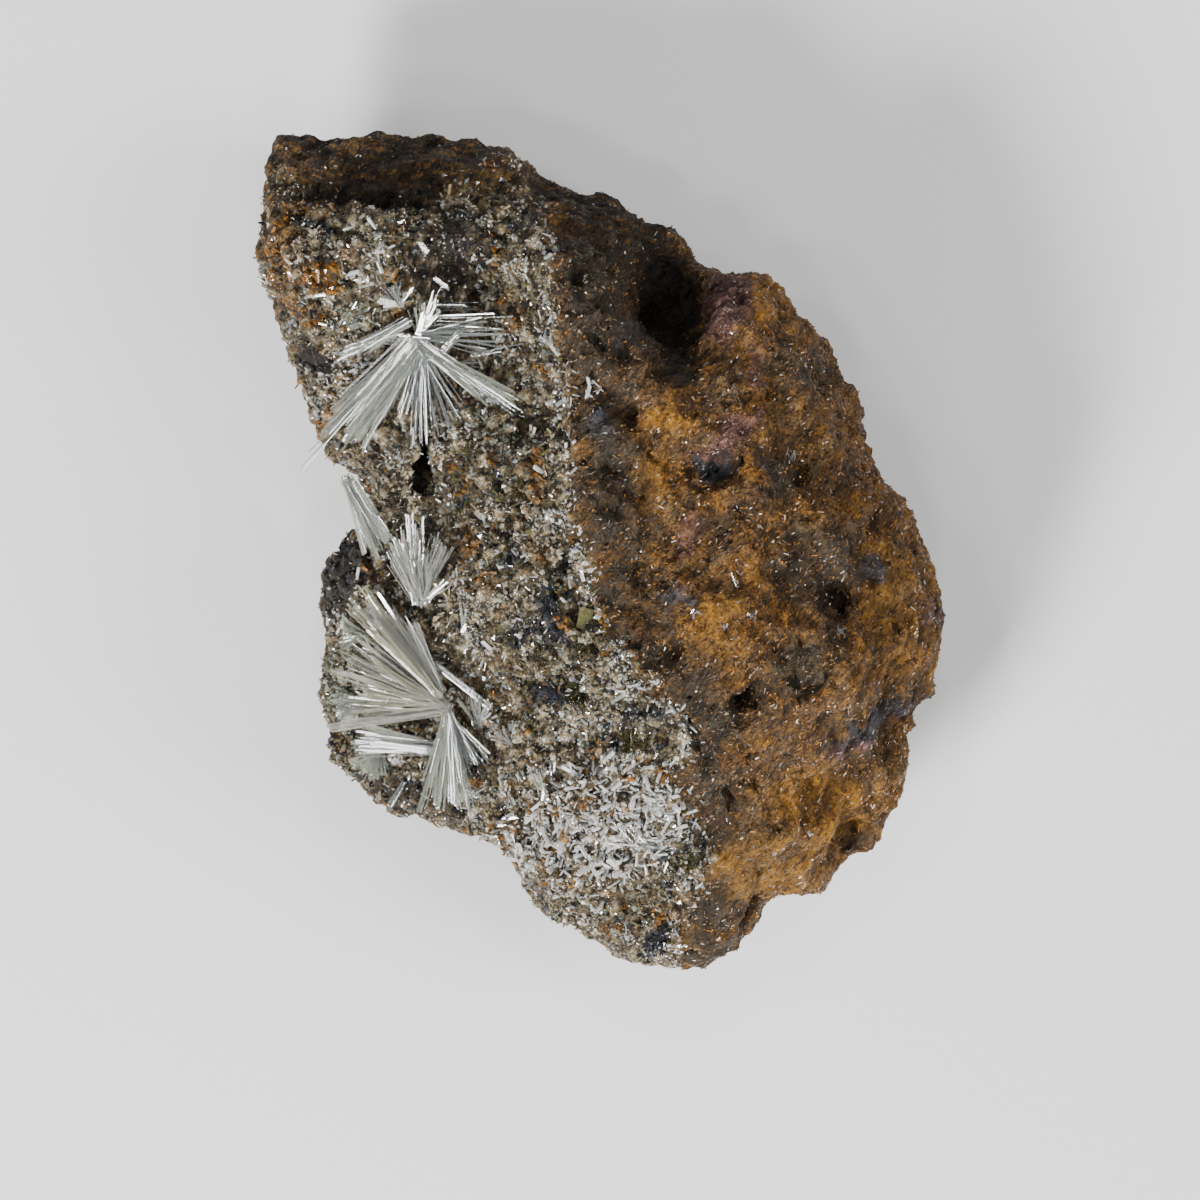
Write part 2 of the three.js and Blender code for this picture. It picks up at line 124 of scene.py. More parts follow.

# Where each stain, crack, crust or painted shade lies on the face: ovals in mm, (x, y, half width, half
# length, turn, strength). The turn is in degrees from +X towards +Y.
REGIONS = {
    "shelf": [(-21, 38.0, 17, 5.8, 0, 1), (0, 33.0, 11, 5.0, -35, 1), (-33, 34, 5, 7, 0, 0.8)],
    # Painted shade: the hollow's colour is blackened for the deep shadow in it.
    "hollow": [(6.4, 23.6, 3.6, 6.4, 12, 1), (7.6, 17.6, 2.2, 3.0, 30, 0.9)],
    # Blackish rock and painted shade: some of these ovals are blackish mineral, while those round the
    # hollow, under the shelf, in the pits and in the slit stand for shadow.
    "dark": [
        (3.4, 22.8, 8.0, 8.4, 10, 0.8), (-14.4, 27.6, 4.8, 4.6, 0, 0.85), (-21.5, 33.4, 7.5, 1.7, -3, 0.9),
        (-24.8, -2.6, 2.6, 5.0, -10, 0.9), (-18.6, -23.4, 7.0, 2.4, -18, 0.7),
        (-27.6, 17.6, 2.0, 1.5, 0, 0.9), (21.9, -5.6, 1.7, 2.9, -30, 0.8),
        (13.5, -14.9, 1.3, 3.6, -35, 0.9), (24.2, -27.4, 2.3, 2.1, 0, 0.95),
        (16.0, 8.0, 1.4, 2.4, -30, 0.6), (26.4, 13.8, 2.2, 1.2, 40, 0.7), (5.0, 2.2, 1.6, 0.8, -10, 0.8),
        (-11.5, -20.5, 2.2, 1.4, -20, 0.6), (-13.0, 15.8, 3.0, 2.0, 0, 0.5), (7.8, -33.8, 0.9, 0.7, 0, 1),
        (1.4, 6.5, 3.4, 6.4, 0, 0.45),
    ],
    # Painted shade: the cracks, pits and the strip under the shelf are sunk, and their colour blackened for
    # the shadow in them.
    "gap": [
        (-21.0, 33.2, 6.4, 0.8, -4, 1), (-16.8, 9.0, 0.45, 2.2, -6, 1), (-17.3, 6.0, 0.4, 1.6, -26, 1),
        (13.4, -14.9, 0.5, 2.7, -35, 0.6), (22.0, -4.8, 0.6, 0.9, 30, 0.6), (17.5, 22.2, 1.3, 0.5, -30, 0.8),
        (23.6, -5.4, 0.5, 1.0, 10, 0.5), (8.0, -17.4, 0.6, 1.5, 20, 0.8),
        (-3.8, -3.0, 0.6, 3.4, 4, 0.8), (20.3, -13.2, 0.4, 2.2, -32, 0.6), (28.8, -24.0, 0.5, 2.0, -30, 0.7),
    ],
    "blue": [
        (-4.8, -5.6, 1.4, 3.6, 4, 0.9), (-3.6, -13.8, 2.6, 1.3, -6, 1), (5.3, -37.6, 1.3, 1.7, 0, 1),
        (-24.8, -2.6, 2.2, 4.6, -10, 0.8), (10.3, 7.5, 1.5, 1.0, 12, 1), (7.2, -4.5, 2.6, 0.6, -12, 0.8),
        (-6.4, -7.6, 2.2, 1.6, 0, 0.7), (26.0, -16.6, 5.4, 0.8, 26, 0.8), (3.6, -16.0, 2.6, 1.0, -10, 0.7),
        (-8.8, -1.2, 1.6, 0.8, 0, 0.7), (-27.4, 17.8, 1.6, 1.2, 0, 0.8), (-27.6, 31.0, 1.4, 0.9, 0, 0.8),
        (0.0, 11.6, 1.6, 1.3, 0, 0.7), (3.4, 19.6, 2.2, 2.6, 0, 0.4), (25.6, -2.6, 2.0, 1.0, 30, 0.8),
    ],
    "mauve": [
        (11.8, 23.2, 2.6, 4.2, 6, 1), (11.9, 9.8, 4.2, 1.7, 40, 1), (8.6, 1.0, 1.2, 2.6, 0, 0.6),
        (25.2, -17.8, 4.6, 0.9, 28, 1), (15.0, 17.0, 1.4, 2.8, 0, 0.6), (31.6, -6.6, 1.6, 1.0, -10, 0.7),
    ],
    "ochre": [
        (16.2, 23.7, 2.4, 2.6, 0, 1), (-27.9, 24.0, 3.8, 4.0, 20, 1), (-30.6, 28.6, 2.2, 3.2, 0, 1),
        (-26.5, 32.2, 3.2, 0.8, -3, 0.9), (-20.2, 25.4, 0.9, 1.0, 0, 0.9), (-26.3, 11.5, 1.0, 1.6, 0, 1),
        (-24.0, 16.0, 1.1, 0.7, 0, 0.9), (-21.9, -1.7, 1.5, 0.9, 0, 1), (-23.7, -5.2, 0.9, 1.0, 0, 1),
        (-12.9, 0.3, 1.3, 1.8, 0, 0.8), (-10.7, -3.5, 1.2, 1.1, 0, 1), (-6.8, 8.2, 1.0, 1.2, 0, 0.9),
        (-6.5, -20.6, 1.0, 1.0, 0, 1), (-4.2, -24.4, 1.0, 1.2, 0, 1), (-1.7, -24.0, 1.1, 1.1, 0, 0.9),
        (2.0, -21.4, 0.9, 0.9, 0, 0.9), (-1.7, -31.6, 1.1, 1.0, 0, 0.9), (-7.9, -27.2, 1.0, 1.1, 0, 0.9),
        (5.4, -35.8, 0.8, 1.3, 0, 1), (22.0, -25.0, 6.0, 4.0, -20, 0.8), (6.2, 12.2, 2.4, 1.2, 0, 0.9),
        (4.6, 6.2, 2.0, 2.6, 0, 0.9), (11.5, -7.0, 3.4, 3.4, 0, 0.6), (16.0, -30.0, 6.0, 4.0, 0, 0.6),
        (31.4, -2.6, 2.0, 3.4, 0, 0.5), (27.6, -6.8, 4.4, 6.4, 0, 0.4), (-3.0, 31.0, 2.6, 1.0, -20, 0.8),
        (-9.8, 36.0, 2.0, 1.8, 0, 0.8), (-28.6, 36.2, 1.6, 1.6, 0, 0.7), (0.5, 29.5, 1.6, 1.0, -30, 0.6),
    ],
    "crust": [
        (0.0, -26.0, 9.5, 7.2, 10, 0.9), (-7.5, -30.0, 4.0, 4.0, 0, 0.7), (-0.9, 14.4, 2.3, 0.9, -15, 1),
        (1.9, -13.4, 2.0, 0.9, -10, 1), (-21.1, 28.5, 1.0, 1.9, 0, 1), (-24.4, 24.9, 1.2, 1.0, 0, 1),
        (-31.7, 31.3, 0.7, 0.7, 0, 1), (6.6, -16.6, 1.6, 0.5, -40, 1),
    ],
    "glass": [
        (-22.9, -13.0, 4.6, 7.0, 0, 1), (-22.6, 21.8, 3.2, 1.6, 0, 0.8), (-9.5, 11.0, 2.6, 2.0, 0, 0.5),
    ],
    "grey": [
        (20.2, -1.6, 4.6, 3.6, 30, 0.9), (18.4, -11.2, 3.2, 2.6, 0, 0.8), (20.0, 17.0, 3.8, 3.4, 0, 0.6),
        (17.0, 6.5, 1.8, 1.6, 0, 0.8), (10.0, -36.5, 3.4, 3.0, 0, 0.7),
    ],
}

# Tints of the druse's crystals.
WHITE = (0.90, 0.895, 0.86)
CREAM = (0.64, 0.60, 0.47)
PEACH = (0.60, 0.48, 0.29)
TAN = (0.31, 0.26, 0.16)
GREY = (0.27, 0.30, 0.29)
OLIVE = (0.20, 0.18, 0.07)
ORANGE = (0.50, 0.20, 0.02)
SMOKE = (0.03, 0.035, 0.045)
MOSS = (0.42, 0.45, 0.34)
PALE = (0.74, 0.75, 0.66)
MIXTURE = [SMOKE, OLIVE, GREY, TAN, CREAM, PEACH, PALE, WHITE]
MIXTURE_STEPS = [0.10, 0.22, 0.34, 0.50, 0.66, 0.80, 0.93]

# Tints of the scales in the bare rock, and their size: across, thick and long.
# Painted highlight in part: the last, palest tint is for pale mica flakes and also stands in for small
# glints.
SCALE_MIXTURE = [(0.030, 0.015, 0.005), (0.085, 0.038, 0.009), (0.19, 0.080, 0.010),
                 (0.33, 0.145, 0.016), (0.13, 0.10, 0.06), (0.62, 0.55, 0.44)]
SCALE_STEPS = [0.26, 0.46, 0.68, 0.84, 0.95]
RED_SCALE = (0.17, 0.085, 0.07)
GREY_SCALE = (0.085, 0.07, 0.045)
# For scales on the blue ovals and on the shelf: blackish rock, and on the shelf partly painted shade.
DARK_SCALE = (0.02, 0.015, 0.010)
SCALE_SIZE = (0.17 * MM, 0.09 * MM, 0.40 * MM)
SCALE_WAY = (0.75, 0.62, 0.2)  # the direction that most of them lie in

# Tints of the needles, most of them nearly white because light passes through many needles.
CLEAR = (0.95, 0.96, 0.96)
MILK = (0.93, 0.93, 0.86)
STRAW = (0.92, 0.89, 0.72)
SAGE = (0.86, 0.90, 0.80)
ASH = (0.62, 0.66, 0.64)
BOTTLE = (0.58, 0.54, 0.24)

# The sprays, in mm and degrees: each fan is (dx, dy, from, to, length, rise, needles, width, tint), its foot
# beside the spray's root. Degrees count from +X towards +Y. A fan of a few needles becomes more and thinner
# laths, most of them bright.
SPRAYS = {
    "upper_spray": ((-16.4, 19.6, 25.5), [
        (-1.6, 0.0, 221, 235, 12.6, 2, 64, 0.32, MILK), (-0.4, -0.4, 228, 241, 12.4, 4, 60, 0.28, SAGE),
        (-1.2, -0.2, 226, 230, 17.6, 3, 5, 0.30, ASH), (-1.4, 0.0, 224, 240, 12.0, 7, 4, 0.18, CLEAR),
        (-0.6, -0.4, 323, 329, 12.4, 13, 5, 0.27, ASH), (-0.6, -0.4, 314, 334, 11.0, 12, 26, 0.24, SAGE),
        (-0.6, -0.6, 248, 308, 9.6, 8, 40, 0.14, ASH), (-0.2, -1.2, 296, 307, 8.6, 11, 4, 0.12, CLEAR),
        (-0.4, -1.0, 262, 280, 9.0, 14, 3, 0.11, CLEAR),
        (-1.8, 1.6, 202, 216, 7.6, 10, 22, 0.22, MILK), (-1.8, 1.8, 205, 214, 7.4, 13, 4, 0.22, ASH),
        (-2.6, 0.8, 196, 204, 6.0, 12, 3, 0.16, CLEAR), (-5.1, 0.3, 351, 355, 7.0, 8, 3, 0.22, CLEAR),
        (-0.4, 0.6, -16, 16, 8.6, 14, 24, 0.16, ASH), (0.6, 2.0, -6, 3, 7.8, 10, 3, 0.15, ASH),
        (1.0, 3.2, -3, 3, 4.6, 12, 3, 0.18, ASH), (4.2, -1.4, 9, 14, 5.4, 12, 2, 0.15, ASH),
        (1.6, -1.1, 43, 50, 3.9, 18, 3, 0.22, CLEAR), (1.9, -2.3, -4, 4, 4.8, 12, 3, 0.14, ASH),
        (2.7, -2.7, -31, -22, 4.4, 12, 4, 0.28, CLEAR),
        (-0.2, 1.6, 58, 78, 4.0, 24, 4, 0.15, CLEAR), (-0.6, 0.8, 40, 112, 4.0, 22, 18, 0.15, MILK),
        (-0.8, 0.4, 66, 78, 2.4, 30, 4, 0.3, CLEAR),
    ]),
    "edge_sheaf": ((-24.0, 6.4, 26.5), [
        (0, 0, 284, 310, 7.8, -8, 60, 0.34, SAGE), (0.2, -0.2, 288, 306, 7.4, -5, 20, 0.5, MILK),
        (0.2, -0.3, 290, 302, 6.4, -2, 4, 0.2, CLEAR),
    ]),
    "middle_spray": ((-16.4, -4.6, 27.5), [
        (-0.6, -0.6, 58, 126, 6.8, 12, 130, 0.2, MILK), (-0.4, -0.4, 66, 112, 4.6, 30, 60, 0.18, MILK),
        (-1.4, 2.4, 92, 96, 5.8, 10, 3, 0.3, CLEAR), (-2.0, 3.2, 96, 101, 3.6, 8, 3, 0.26, CLEAR),
        (-0.8, 3.6, 88, 94, 4.2, 10, 3, 0.26, CLEAR), (-0.4, -0.6, 74, 118, 6.0, 18, 6, 0.18, CLEAR),
        (-0.2, -0.6, 30, 60, 3.6, 20, 14, 0.18, MILK),
    ]),
    "lower_spray": ((-14.6, -14.6, 25.0), [
        (-0.8, 0.8, 124, 137, 13.0, 10, 80, 0.40, STRAW), (-1.0, 1.8, 128, 138, 11.6, 13, 24, 0.5, MILK),
        (-0.6, 1.0, 110, 126, 9.6, 12, 46, 0.26, MILK), (-1.2, 2.4, 112, 122, 7.0, 16, 5, 0.2, CLEAR),
        (0, -0.6, 140, 190, 11.4, 4, 140, 0.23, MILK), (-0.4, -0.4, 146, 186, 8.0, 12, 56, 0.20, STRAW),
        (-3.9, 2.6, 143, 148, 3.9, 10, 3, 0.34, CLEAR), (-5.5, 4.8, 172, 181, 3.0, 8, 4, 0.2, CLEAR),
        (-0.4, -4.4, 162, 184, 9.0, 9, 60, 0.26, MILK), (-0.6, -4.6, 164, 183, 8.6, 11, 6, 0.42, CLEAR),
        (-0.8, -4.4, 166, 181, 8.2, 13, 6, 0.34, CLEAR), (-0.6, -4.8, 170, 180, 9.2, 8, 6, 0.3, CLEAR),
        (0.2, -1.2, 250, 287, 10.2, 7, 90, 0.2, SAGE), (0.2, -1.4, 262, 284, 9.4, 11, 6, 0.26, CLEAR),
        (0.4, -1.2, 278, 285, 10.6, 9, 5, 0.24, CLEAR), (0.3, -1.0, 286, 318, 6.4, 9, 24, 0.14, ASH),
        (1.6, -3.4, 298, 308, 3.4, 10, 5, 0.22, CLEAR), (-1.2, 3.6, 319, 323, 7.3, 10, 4, 0.36, CLEAR),
        (-0.7, -5.6, 1, 4, 5.2, 12, 2, 0.18, ASH), (1.1, -9.2, 28, 31, 5.0, 16, 3, 0.3, CLEAR),
        (-4.0, -7.8, 236, 246, 3.4, 6, 5, 0.3, ASH), (-2.0, -4.8, 252, 258, 1.8, 12, 2, 0.2, CLEAR),
    ]),
}

# Small tufts, rosettes and single crystals rooted in the druse or the bare rock, in mm and degrees: (x, y,
# from, to, length, rise, needles, width, tint).
TUFTS = [
    (-5.2, -24.0, 70, 112, 4.2, 25, 40, 0.2, MILK), (-9.5, -26.0, -6, 16, 6.0, 14, 46, 0.26, CLEAR),
    (-9.0, -25.6, -2, 12, 5.4, 20, 5, 0.3, CLEAR), (3.9, -28.1, 126, 138, 4.6, 14, 6, 0.34, CLEAR),
    (4.1, -28.1, -8, 16, 5.2, 10, 46, 0.24, ASH), (-1.9, -13.6, 0, 360, 1.9, 35, 70, 0.2, OLIVE),
    (-7.2, 5.5, 0, 360, 1.7, 35, 50, 0.22, OLIVE), (-1.4, -9.3, 0, 360, 1.5, 35, 50, 0.22, OLIVE),
    (2.8, -18.5, 0, 360, 1.7, 35, 56, 0.22, OLIVE), (-5.6, -10.4, 0, 360, 1.5, 35, 50, 0.2, TAN),
    (8.3, -29.5, 0, 360, 1.3, 35, 40, 0.22, OLIVE), (-19.0, 23.0, 20, 200, 2.2, 30, 50, 0.22, MILK),
    (-12.0, 9.0, 0, 360, 1.5, 35, 40, 0.2, TAN), (-8.4, -18.5, 30, 170, 2.4, 30, 50, 0.22, MILK),
    (-22.9, -14.5, 150, 250, 3.2, 12, 50, 0.26, SAGE), (-21.0, -19.5, 200, 290, 3.2, 12, 50, 0.26, SAGE),
    (-22.5, -8.5, 130, 220, 3.0, 15, 40, 0.26, SAGE), (-15.2, 21.6, 100, 116, 1.6, 20, 2, 0.4, MILK),
    (-11.6, -17.0, 60, 130, 3.6, 24, 30, 0.18, MILK), (-13.0, -8.0, 30, 100, 3.0, 24, 30, 0.18, MILK),
    (-10.8, -12.4, 70, 90, 5.4, 14, 6, 0.18, ASH), (-24.6, 20.6, 10, 60, 3.6, 14, 30, 0.3, SAGE),
    (-17.4, 28.8, 300, 310, 2.1, 14, 2, 0.5, MILK), (-15.6, 25.6, 320, 330, 1.9, 14, 2, 0.5, MILK),
    (-11.6, 26.2, 66, 78, 1.9, 14, 2, 0.4, MILK), (-18.4, 30.8, 196, 206, 1.1, 14, 1, 0.6, MILK),
    (12.7, -3.4, 108, 122, 2.2, 8, 3, 0.14, CLEAR),
    (8.8, -6.3, 0, 360, 0.7, 30, 10, 0.2, CLEAR), (14.4, -6.3, 0, 360, 0.7, 30, 8, 0.2, CLEAR),
    (11.5, -7.4, 0, 360, 0.5, 30, 7, 0.18, CLEAR), (18.1, 8.4, 60, 120, 0.9, 20, 5, 0.2, CLEAR),
    (22.5, -7.9, 0, 360, 0.8, 30, 9, 0.2, CLEAR), (19.6, -27.0, 0, 360, 0.5, 30, 7, 0.2, CLEAR),
    (-7.4, 4.8, 60, 66, 2.4, 8, 1, 1.5, BOTTLE), (-7.0, 1.2, 20, 26, 1.7, 8, 1, 1.2, BOTTLE),
    (-1.8, -7.8, 76, 84, 2.8, 8, 1, 1.4, BOTTLE), (1.4, -18.6, 50, 60, 1.6, 8, 1, 1.2, BOTTLE),
    (7.2, -30.8, 56, 60, 2.4, 8, 1, 1.3, BOTTLE), (-4.2, -10.8, 30, 40, 1.8, 8, 1, 1.3, BOTTLE),
    (-9.4, -8.4, 96, 102, 1.8, 8, 1, 1.0, BOTTLE), (-2.2, -16.9, 10, 16, 1.5, 8, 1, 1.0, BOTTLE),
]


def smooth(share):
    """Eases numbers from 0 to 1, as smoothstep does."""
    share = np.clip(share, 0, 1)
    return share * share * (3 - 2 * share)


def field(points, size, seed=0.0, octaves=3):
    """Fractal noise at each point, about -1 to 1, for features of that size in metres."""
    shift = Vector((seed, 2 * seed, 3 * seed))
    return np.array([noise.fractal(Vector(p) / size + shift, 1.0, 2.0, octaves) for p in points])


def streaks(points, size, along, stretch, seed=0.0):
    """Noise drawn out along a direction, for fibrous and layered rock."""
    along = np.array(Vector(along).normalized())
    pressed = points - np.outer(points @ along, along) * (1 - 1 / stretch)
    return field(pressed, size, seed)


def inside_oval(points, x, y, half_width, half_length, degrees):
    """1 at an oval's middle and 0 from its edge on, at each point seen from above."""
    turn = math.radians(-degrees)
    dx = points[:, 0] / MM - x
    dy = points[:, 1] / MM - y
    u = (dx * math.cos(turn) - dy * math.sin(turn)) / half_width
    v = (dx * math.sin(turn) + dy * math.cos(turn)) / half_length
    return smooth((1.15 - np.hypot(u, v)) / 0.6)


def region_masks(points, normals):
    """The strength of every region at each point, with uneven edges. The back keeps rust and the grey
    beside the crest."""
    noise.seed_set(WOBBLE_SEED)
    moved = points.copy()
    for size, reach in WOBBLES:
        moved += np.array([noise.noise_vector(Vector(p) / size) for p in points]) * reach
    facing = smooth((normals[:, 2] + 0.35) / 0.5)
    masks = {}
    for name, ovals in REGIONS.items():
        strongest = np.zeros(len(points))
        for *oval, strength in ovals:
            strongest = np.maximum(strongest, strength * inside_oval(moved, *oval))
        masks[name] = strongest * facing
    ys = [y for x, y in reversed(CREST)]
    xs = [x for x, y in reversed(CREST)]
    crest = np.interp(moved[:, 1] / MM, ys, xs)
    left = smooth((crest - moved[:, 0] / MM) / 2.0 + 0.5)
    masks["druse"] = left * facing * (1 - masks["shelf"])
    rim = np.exp(-((crest - 0.2 - moved[:, 0] / MM) / 1.2) ** 2)
    masks["rim"] = rim * facing * (1 - masks["shelf"])
    beside = np.exp(-((crest + 3.0 - moved[:, 0] / MM) / 2.8) ** 2)
    masks["grey"] = np.maximum(masks["grey"], beside)
    return masks


def add_object(name, mesh):
    obj = bpy.data.objects.new(name, mesh)
    bpy.context.scene.collection.objects.link(obj)
    return obj


def put_attribute(mesh, name, values):
    """Stores one number for each point of a mesh."""
    mesh.attributes.new(name, "FLOAT", "POINT").data.foreach_set("value", values.astype(np.float32))


def put_tint(mesh, colors):
    """Stores one colour for each point of a mesh."""
    rgba = np.ones((len(colors), 4), np.float32)
    rgba[:, :3] = colors
    mesh.attributes.new("tint", "FLOAT_COLOR", "POINT").data.foreach_set("color", rgba.ravel())


def points_and_normals(mesh):
    points = np.zeros(len(mesh.vertices) * 3)
    normals = np.zeros(len(mesh.vertices) * 3)
    mesh.vertices.foreach_get("co", points)
    mesh.vertices.foreach_get("normal", normals)
    return points.reshape(-1, 3), normals.reshape(-1, 3)


def lump_centres(points):
    """The nearest and second nearest lump of the druse: distance to each, and the nearest one's centre."""
    found = [noise.voronoi(Vector(p) / LUMP) for p in points]
    distances = np.array([d[:2] for d, places in found])
    centres = np.array([places[0] for d, places in found]) * LUMP
    return distances, centres


def rock_relief(points, masks):
    """How far each point of the rock's skin moves along its normal, and how much painted shade darkens it
    where it lies low.
    """
    druse = masks["druse"]
    distances = lump_centres(points)[0]
    border = distances[:, 1] - distances[:, 0]
    lumps = LUMP_DEPTH * (smooth(border / 0.5) - 0.75)
    grain = GRAIN_DEPTH * field(points, GRAIN_SIZE, 3.0, 2)
    crumble = CRUMBLE_DEPTH * field(points, CRUMBLE_SIZE, 5.0)
    broken = BREAK_DEPTH * (0.25 - np.abs(field(points, BREAK_SIZE, 11.0)))
    fibres = FIBRE_DEPTH * streaks(points, FIBRE_SIZE, FIBRE_WAY, 3.5, 7.0)
    layers = LAYER_DEPTH * streaks(points, LAYER_SIZE, LAYER_WAY, 7.0, 9.0)
    pocks = smooth((field(points, POCK_SIZE, 17.0) - 0.5) / 0.2)
    bare = crumble + broken + fibres + grain - POCK_DEPTH * pocks
    shelf = np.maximum(layers + 1.7 * crumble, -SHELF_DEPTH) + grain
    relief = druse * (lumps + grain + 0.4 * crumble) + (1 - druse) * bare
    relief = relief * (1 - masks["shelf"]) + shelf * masks["shelf"]
    ragged = RAG_DEPTH * field(points, RAG_SIZE, 19.0, 2)
    relief += ragged * np.maximum(masks["dark"], masks["gap"]) * (1 - druse) * (1 - masks["shelf"])
    relief -= GAP_DEPTH * masks["gap"] * (1 - 0.8 * masks["shelf"])
    # Painted shade: where the relief lies low, the colour is later darkened as if in shadow.
    crevice_shade = smooth(0.45 - relief / CREVICE_DEPTH)
    return relief, crevice_shade


def neighbour_mean(values, edges):
    """The mean of the values over each point's neighbours on the mesh."""
    near, far = np.concatenate([edges, edges[:, ::-1]]).T
    count = np.bincount(near, minlength=len(values))
    sums = [np.bincount(near, column[far], len(values)) for column in values.T]
    return np.stack(sums, axis=1) / np.maximum(count, 1)[:, None]


def draw_back_horns(mesh):
    """Flattens the thin horns that smoothing leaves on a skin, where the normals all around cancel out."""
    points, normals = points_and_normals(mesh)
    edges = np.zeros(len(mesh.edges) * 2, np.int32)
    mesh.edges.foreach_get("vertices", edges)
    edges = edges.reshape(-1, 2)
    for step in range(NORMAL_ROUNDS):
        normals = neighbour_mean(normals, edges)
    thin = (np.linalg.norm(normals, axis=1, keepdims=True) < HORN).astype(float)
    for step in range(HORN_GROWTH):
        thin = np.maximum(thin, neighbour_mean(thin, edges) > 0)
    for step in range(HORN_SHRINK):
        thin = thin * (neighbour_mean(thin, edges) == 1)
    for step in range(HORN_STEPS):
        points = np.where(thin > 0, neighbour_mean(points, edges), points)
    mesh.vertices.foreach_set("co", points.ravel())
    mesh.update()


def build_rock():
    """The block: the CAD solid's form under a fine broken surface."""
    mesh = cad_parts["matrix"].data.copy()
    bm = bmesh.new()
    bm.from_mesh(mesh)
    bmesh.ops.remove_doubles(bm, verts=bm.verts, dist=0.001 * MM)
    bm.to_mesh(mesh)
    bm.free()
    draft = add_object("rock_draft", mesh)
    remesh = draft.modifiers.new("Remesh", "REMESH")
    remesh.mode = "VOXEL"
    remesh.voxel_size = VOXEL
    soften = draft.modifiers.new("Smooth", "SMOOTH")
    soften.iterations = SMOOTHING
    soften.factor = 0.5
    fine = bpy.data.meshes.new_from_object(draft.evaluated_get(bpy.context.evaluated_depsgraph_get()))
    bpy.data.objects.remove(draft)
    fine.name = "rock"
    draw_back_horns(fine)
    points, normals = points_and_normals(fine)
    masks = region_masks(points, normals)
    relief, crevice_shade = rock_relief(points, masks)
    moved = points + normals * relief[:, None]
    moved[:, 2] = np.maximum(moved[:, 2], FLOOR_GAP)
    fine.vertices.foreach_set("co", moved.ravel())
    fine.update()
    bm = bmesh.new()
    bm.from_mesh(fine)
    bmesh.ops.triangulate(bm, faces=bm.faces)
    bm.to_mesh(fine)
    bm.free()
    fine.materials.clear()
    for name, values in masks.items():
        put_attribute(fine, name, values)
    put_attribute(fine, "crevice_shade", crevice_shade)
    rock = add_object("rock", fine)
    return rock, masks, crevice_shade


class Skin:
    """The rock's triangles, for placing small crystals on them."""

    def __init__(self, rock, masks, crevice_shade):
        mesh = rock.data
        points, normals = points_and_normals(mesh)
        corners = np.zeros(len(mesh.polygons) * 3, np.int32)
        mesh.polygons.foreach_get("vertices", corners)
        self.corners = corners.reshape(-1, 3)
        self.places = points[self.corners]
        self.normals = normals[self.corners].mean(1)
        sides = self.places[:, 1:] - self.places[:, :1]
        self.areas = np.linalg.norm(np.cross(sides[:, 0], sides[:, 1]), axis=1) / 2
        self.masks = {name: values[self.corners].mean(1) for name, values in masks.items()}
        self.masks["crevice_shade"] = crevice_shade[self.corners].mean(1)

    def pick(self, density, count, random):
        """Random places on the skin, more of them where the density is higher."""
        chance = self.areas * np.maximum(density, 0)
        faces = random.choice(len(chance), count, p=chance / chance.sum())
        shares = random.dirichlet((1, 1, 1), count)
        places = (self.places[faces] * shares[:, :, None]).sum(1)
        return places, self.normals[faces], faces


def unit(vectors):
    return vectors / np.maximum(np.linalg.norm(vectors, axis=1, keepdims=True), 1e-9)


def frames_along(directions, twists):
    """Turns for copies whose +Z points along a direction, each twisted about it by an angle."""
    helper = np.where(np.abs(directions[:, 2:]) > 0.9, [[1.0, 0, 0]], [[0, 0, 1.0]])
    side = unit(np.cross(helper, directions))
    other = np.cross(directions, side)
    cos = np.cos(twists)[:, None]
    sin = np.sin(twists)[:, None]
    x = side * cos + other * sin
    y = np.cross(directions, x)
    return np.stack([x, y, directions], axis=2)


def joined_copies(name, shape, places, turns, sizes, tints, material):
    """One piece that holds a copy of a small shape at every place, each with its own tint."""
    points = np.array([v.co[:] for v in shape.verts])
    loops = np.array([v.index for face in shape.faces for v in face.verts], np.int32)
    starts = np.cumsum([0] + [len(face.verts) for face in shape.faces][:-1])
    copies = len(places)
    world = np.einsum("nij,nvj->nvi", turns, points[None] * sizes[:, None, :]) + places[:, None, :]
    shift = np.arange(copies)[:, None]
    mesh = bpy.data.meshes.new(name)
    mesh.vertices.add(copies * len(points))
    mesh.vertices.foreach_set("co", world.ravel())
    mesh.loops.add(copies * len(loops))
    mesh.loops.foreach_set("vertex_index", (loops[None] + shift * len(points)).ravel().astype(np.int32))
    mesh.polygons.add(copies * len(starts))
    mesh.polygons.foreach_set("loop_start", (starts[None] + shift * len(loops)).ravel().astype(np.int32))
    mesh.update(calc_edges=True)
    mesh.shade_flat()
    put_tint(mesh, np.repeat(tints, len(points), axis=0))
    mesh.materials.append(material)
    shape.free()
    return add_object(name, mesh)


def crystal_shape(sides, tip):
    """A prism about 1 wide, 1 thick and 1 long from its foot up +Z, a flat side to +Y, its end blunt or
    pointed."""
    bm = bmesh.new()
    bmesh.ops.create_cone(bm, cap_ends=True, segments=sides, radius1=0.5, radius2=0.5, depth=1)
    bmesh.ops.translate(bm, verts=bm.verts, vec=(0, 0, 0.5))
    bmesh.ops.rotate(bm, verts=bm.verts, cent=(0, 0, 0), matrix=Matrix.Rotation(math.pi / sides, 3, "Z"))
    if tip:
        top = [face for face in bm.faces if face.normal.z > 0.9]
        bmesh.ops.inset_region(bm, faces=top, thickness=0.22, depth=0)
        bmesh.ops.translate(bm, verts=list(top[0].verts), vec=(0, 0, tip))
    bm.verts.index_update()
    return bm


def grain_shape(sides):
    """A stout grain, 1 across and 1 high, pointed at both ends."""
    bm = bmesh.new()
    bmesh.ops.create_uvsphere(bm, u_segments=sides, v_segments=2, radius=0.5)
    bm.verts.index_update()
    return bm


def principled(material):
    material.use_nodes = True
    return material.node_tree.nodes["Principled BSDF"]


def add_node(tree, kind, **settings):
    node = tree.nodes.new(kind)
    for name, value in settings.items():
        setattr(node, name, value)
    return node


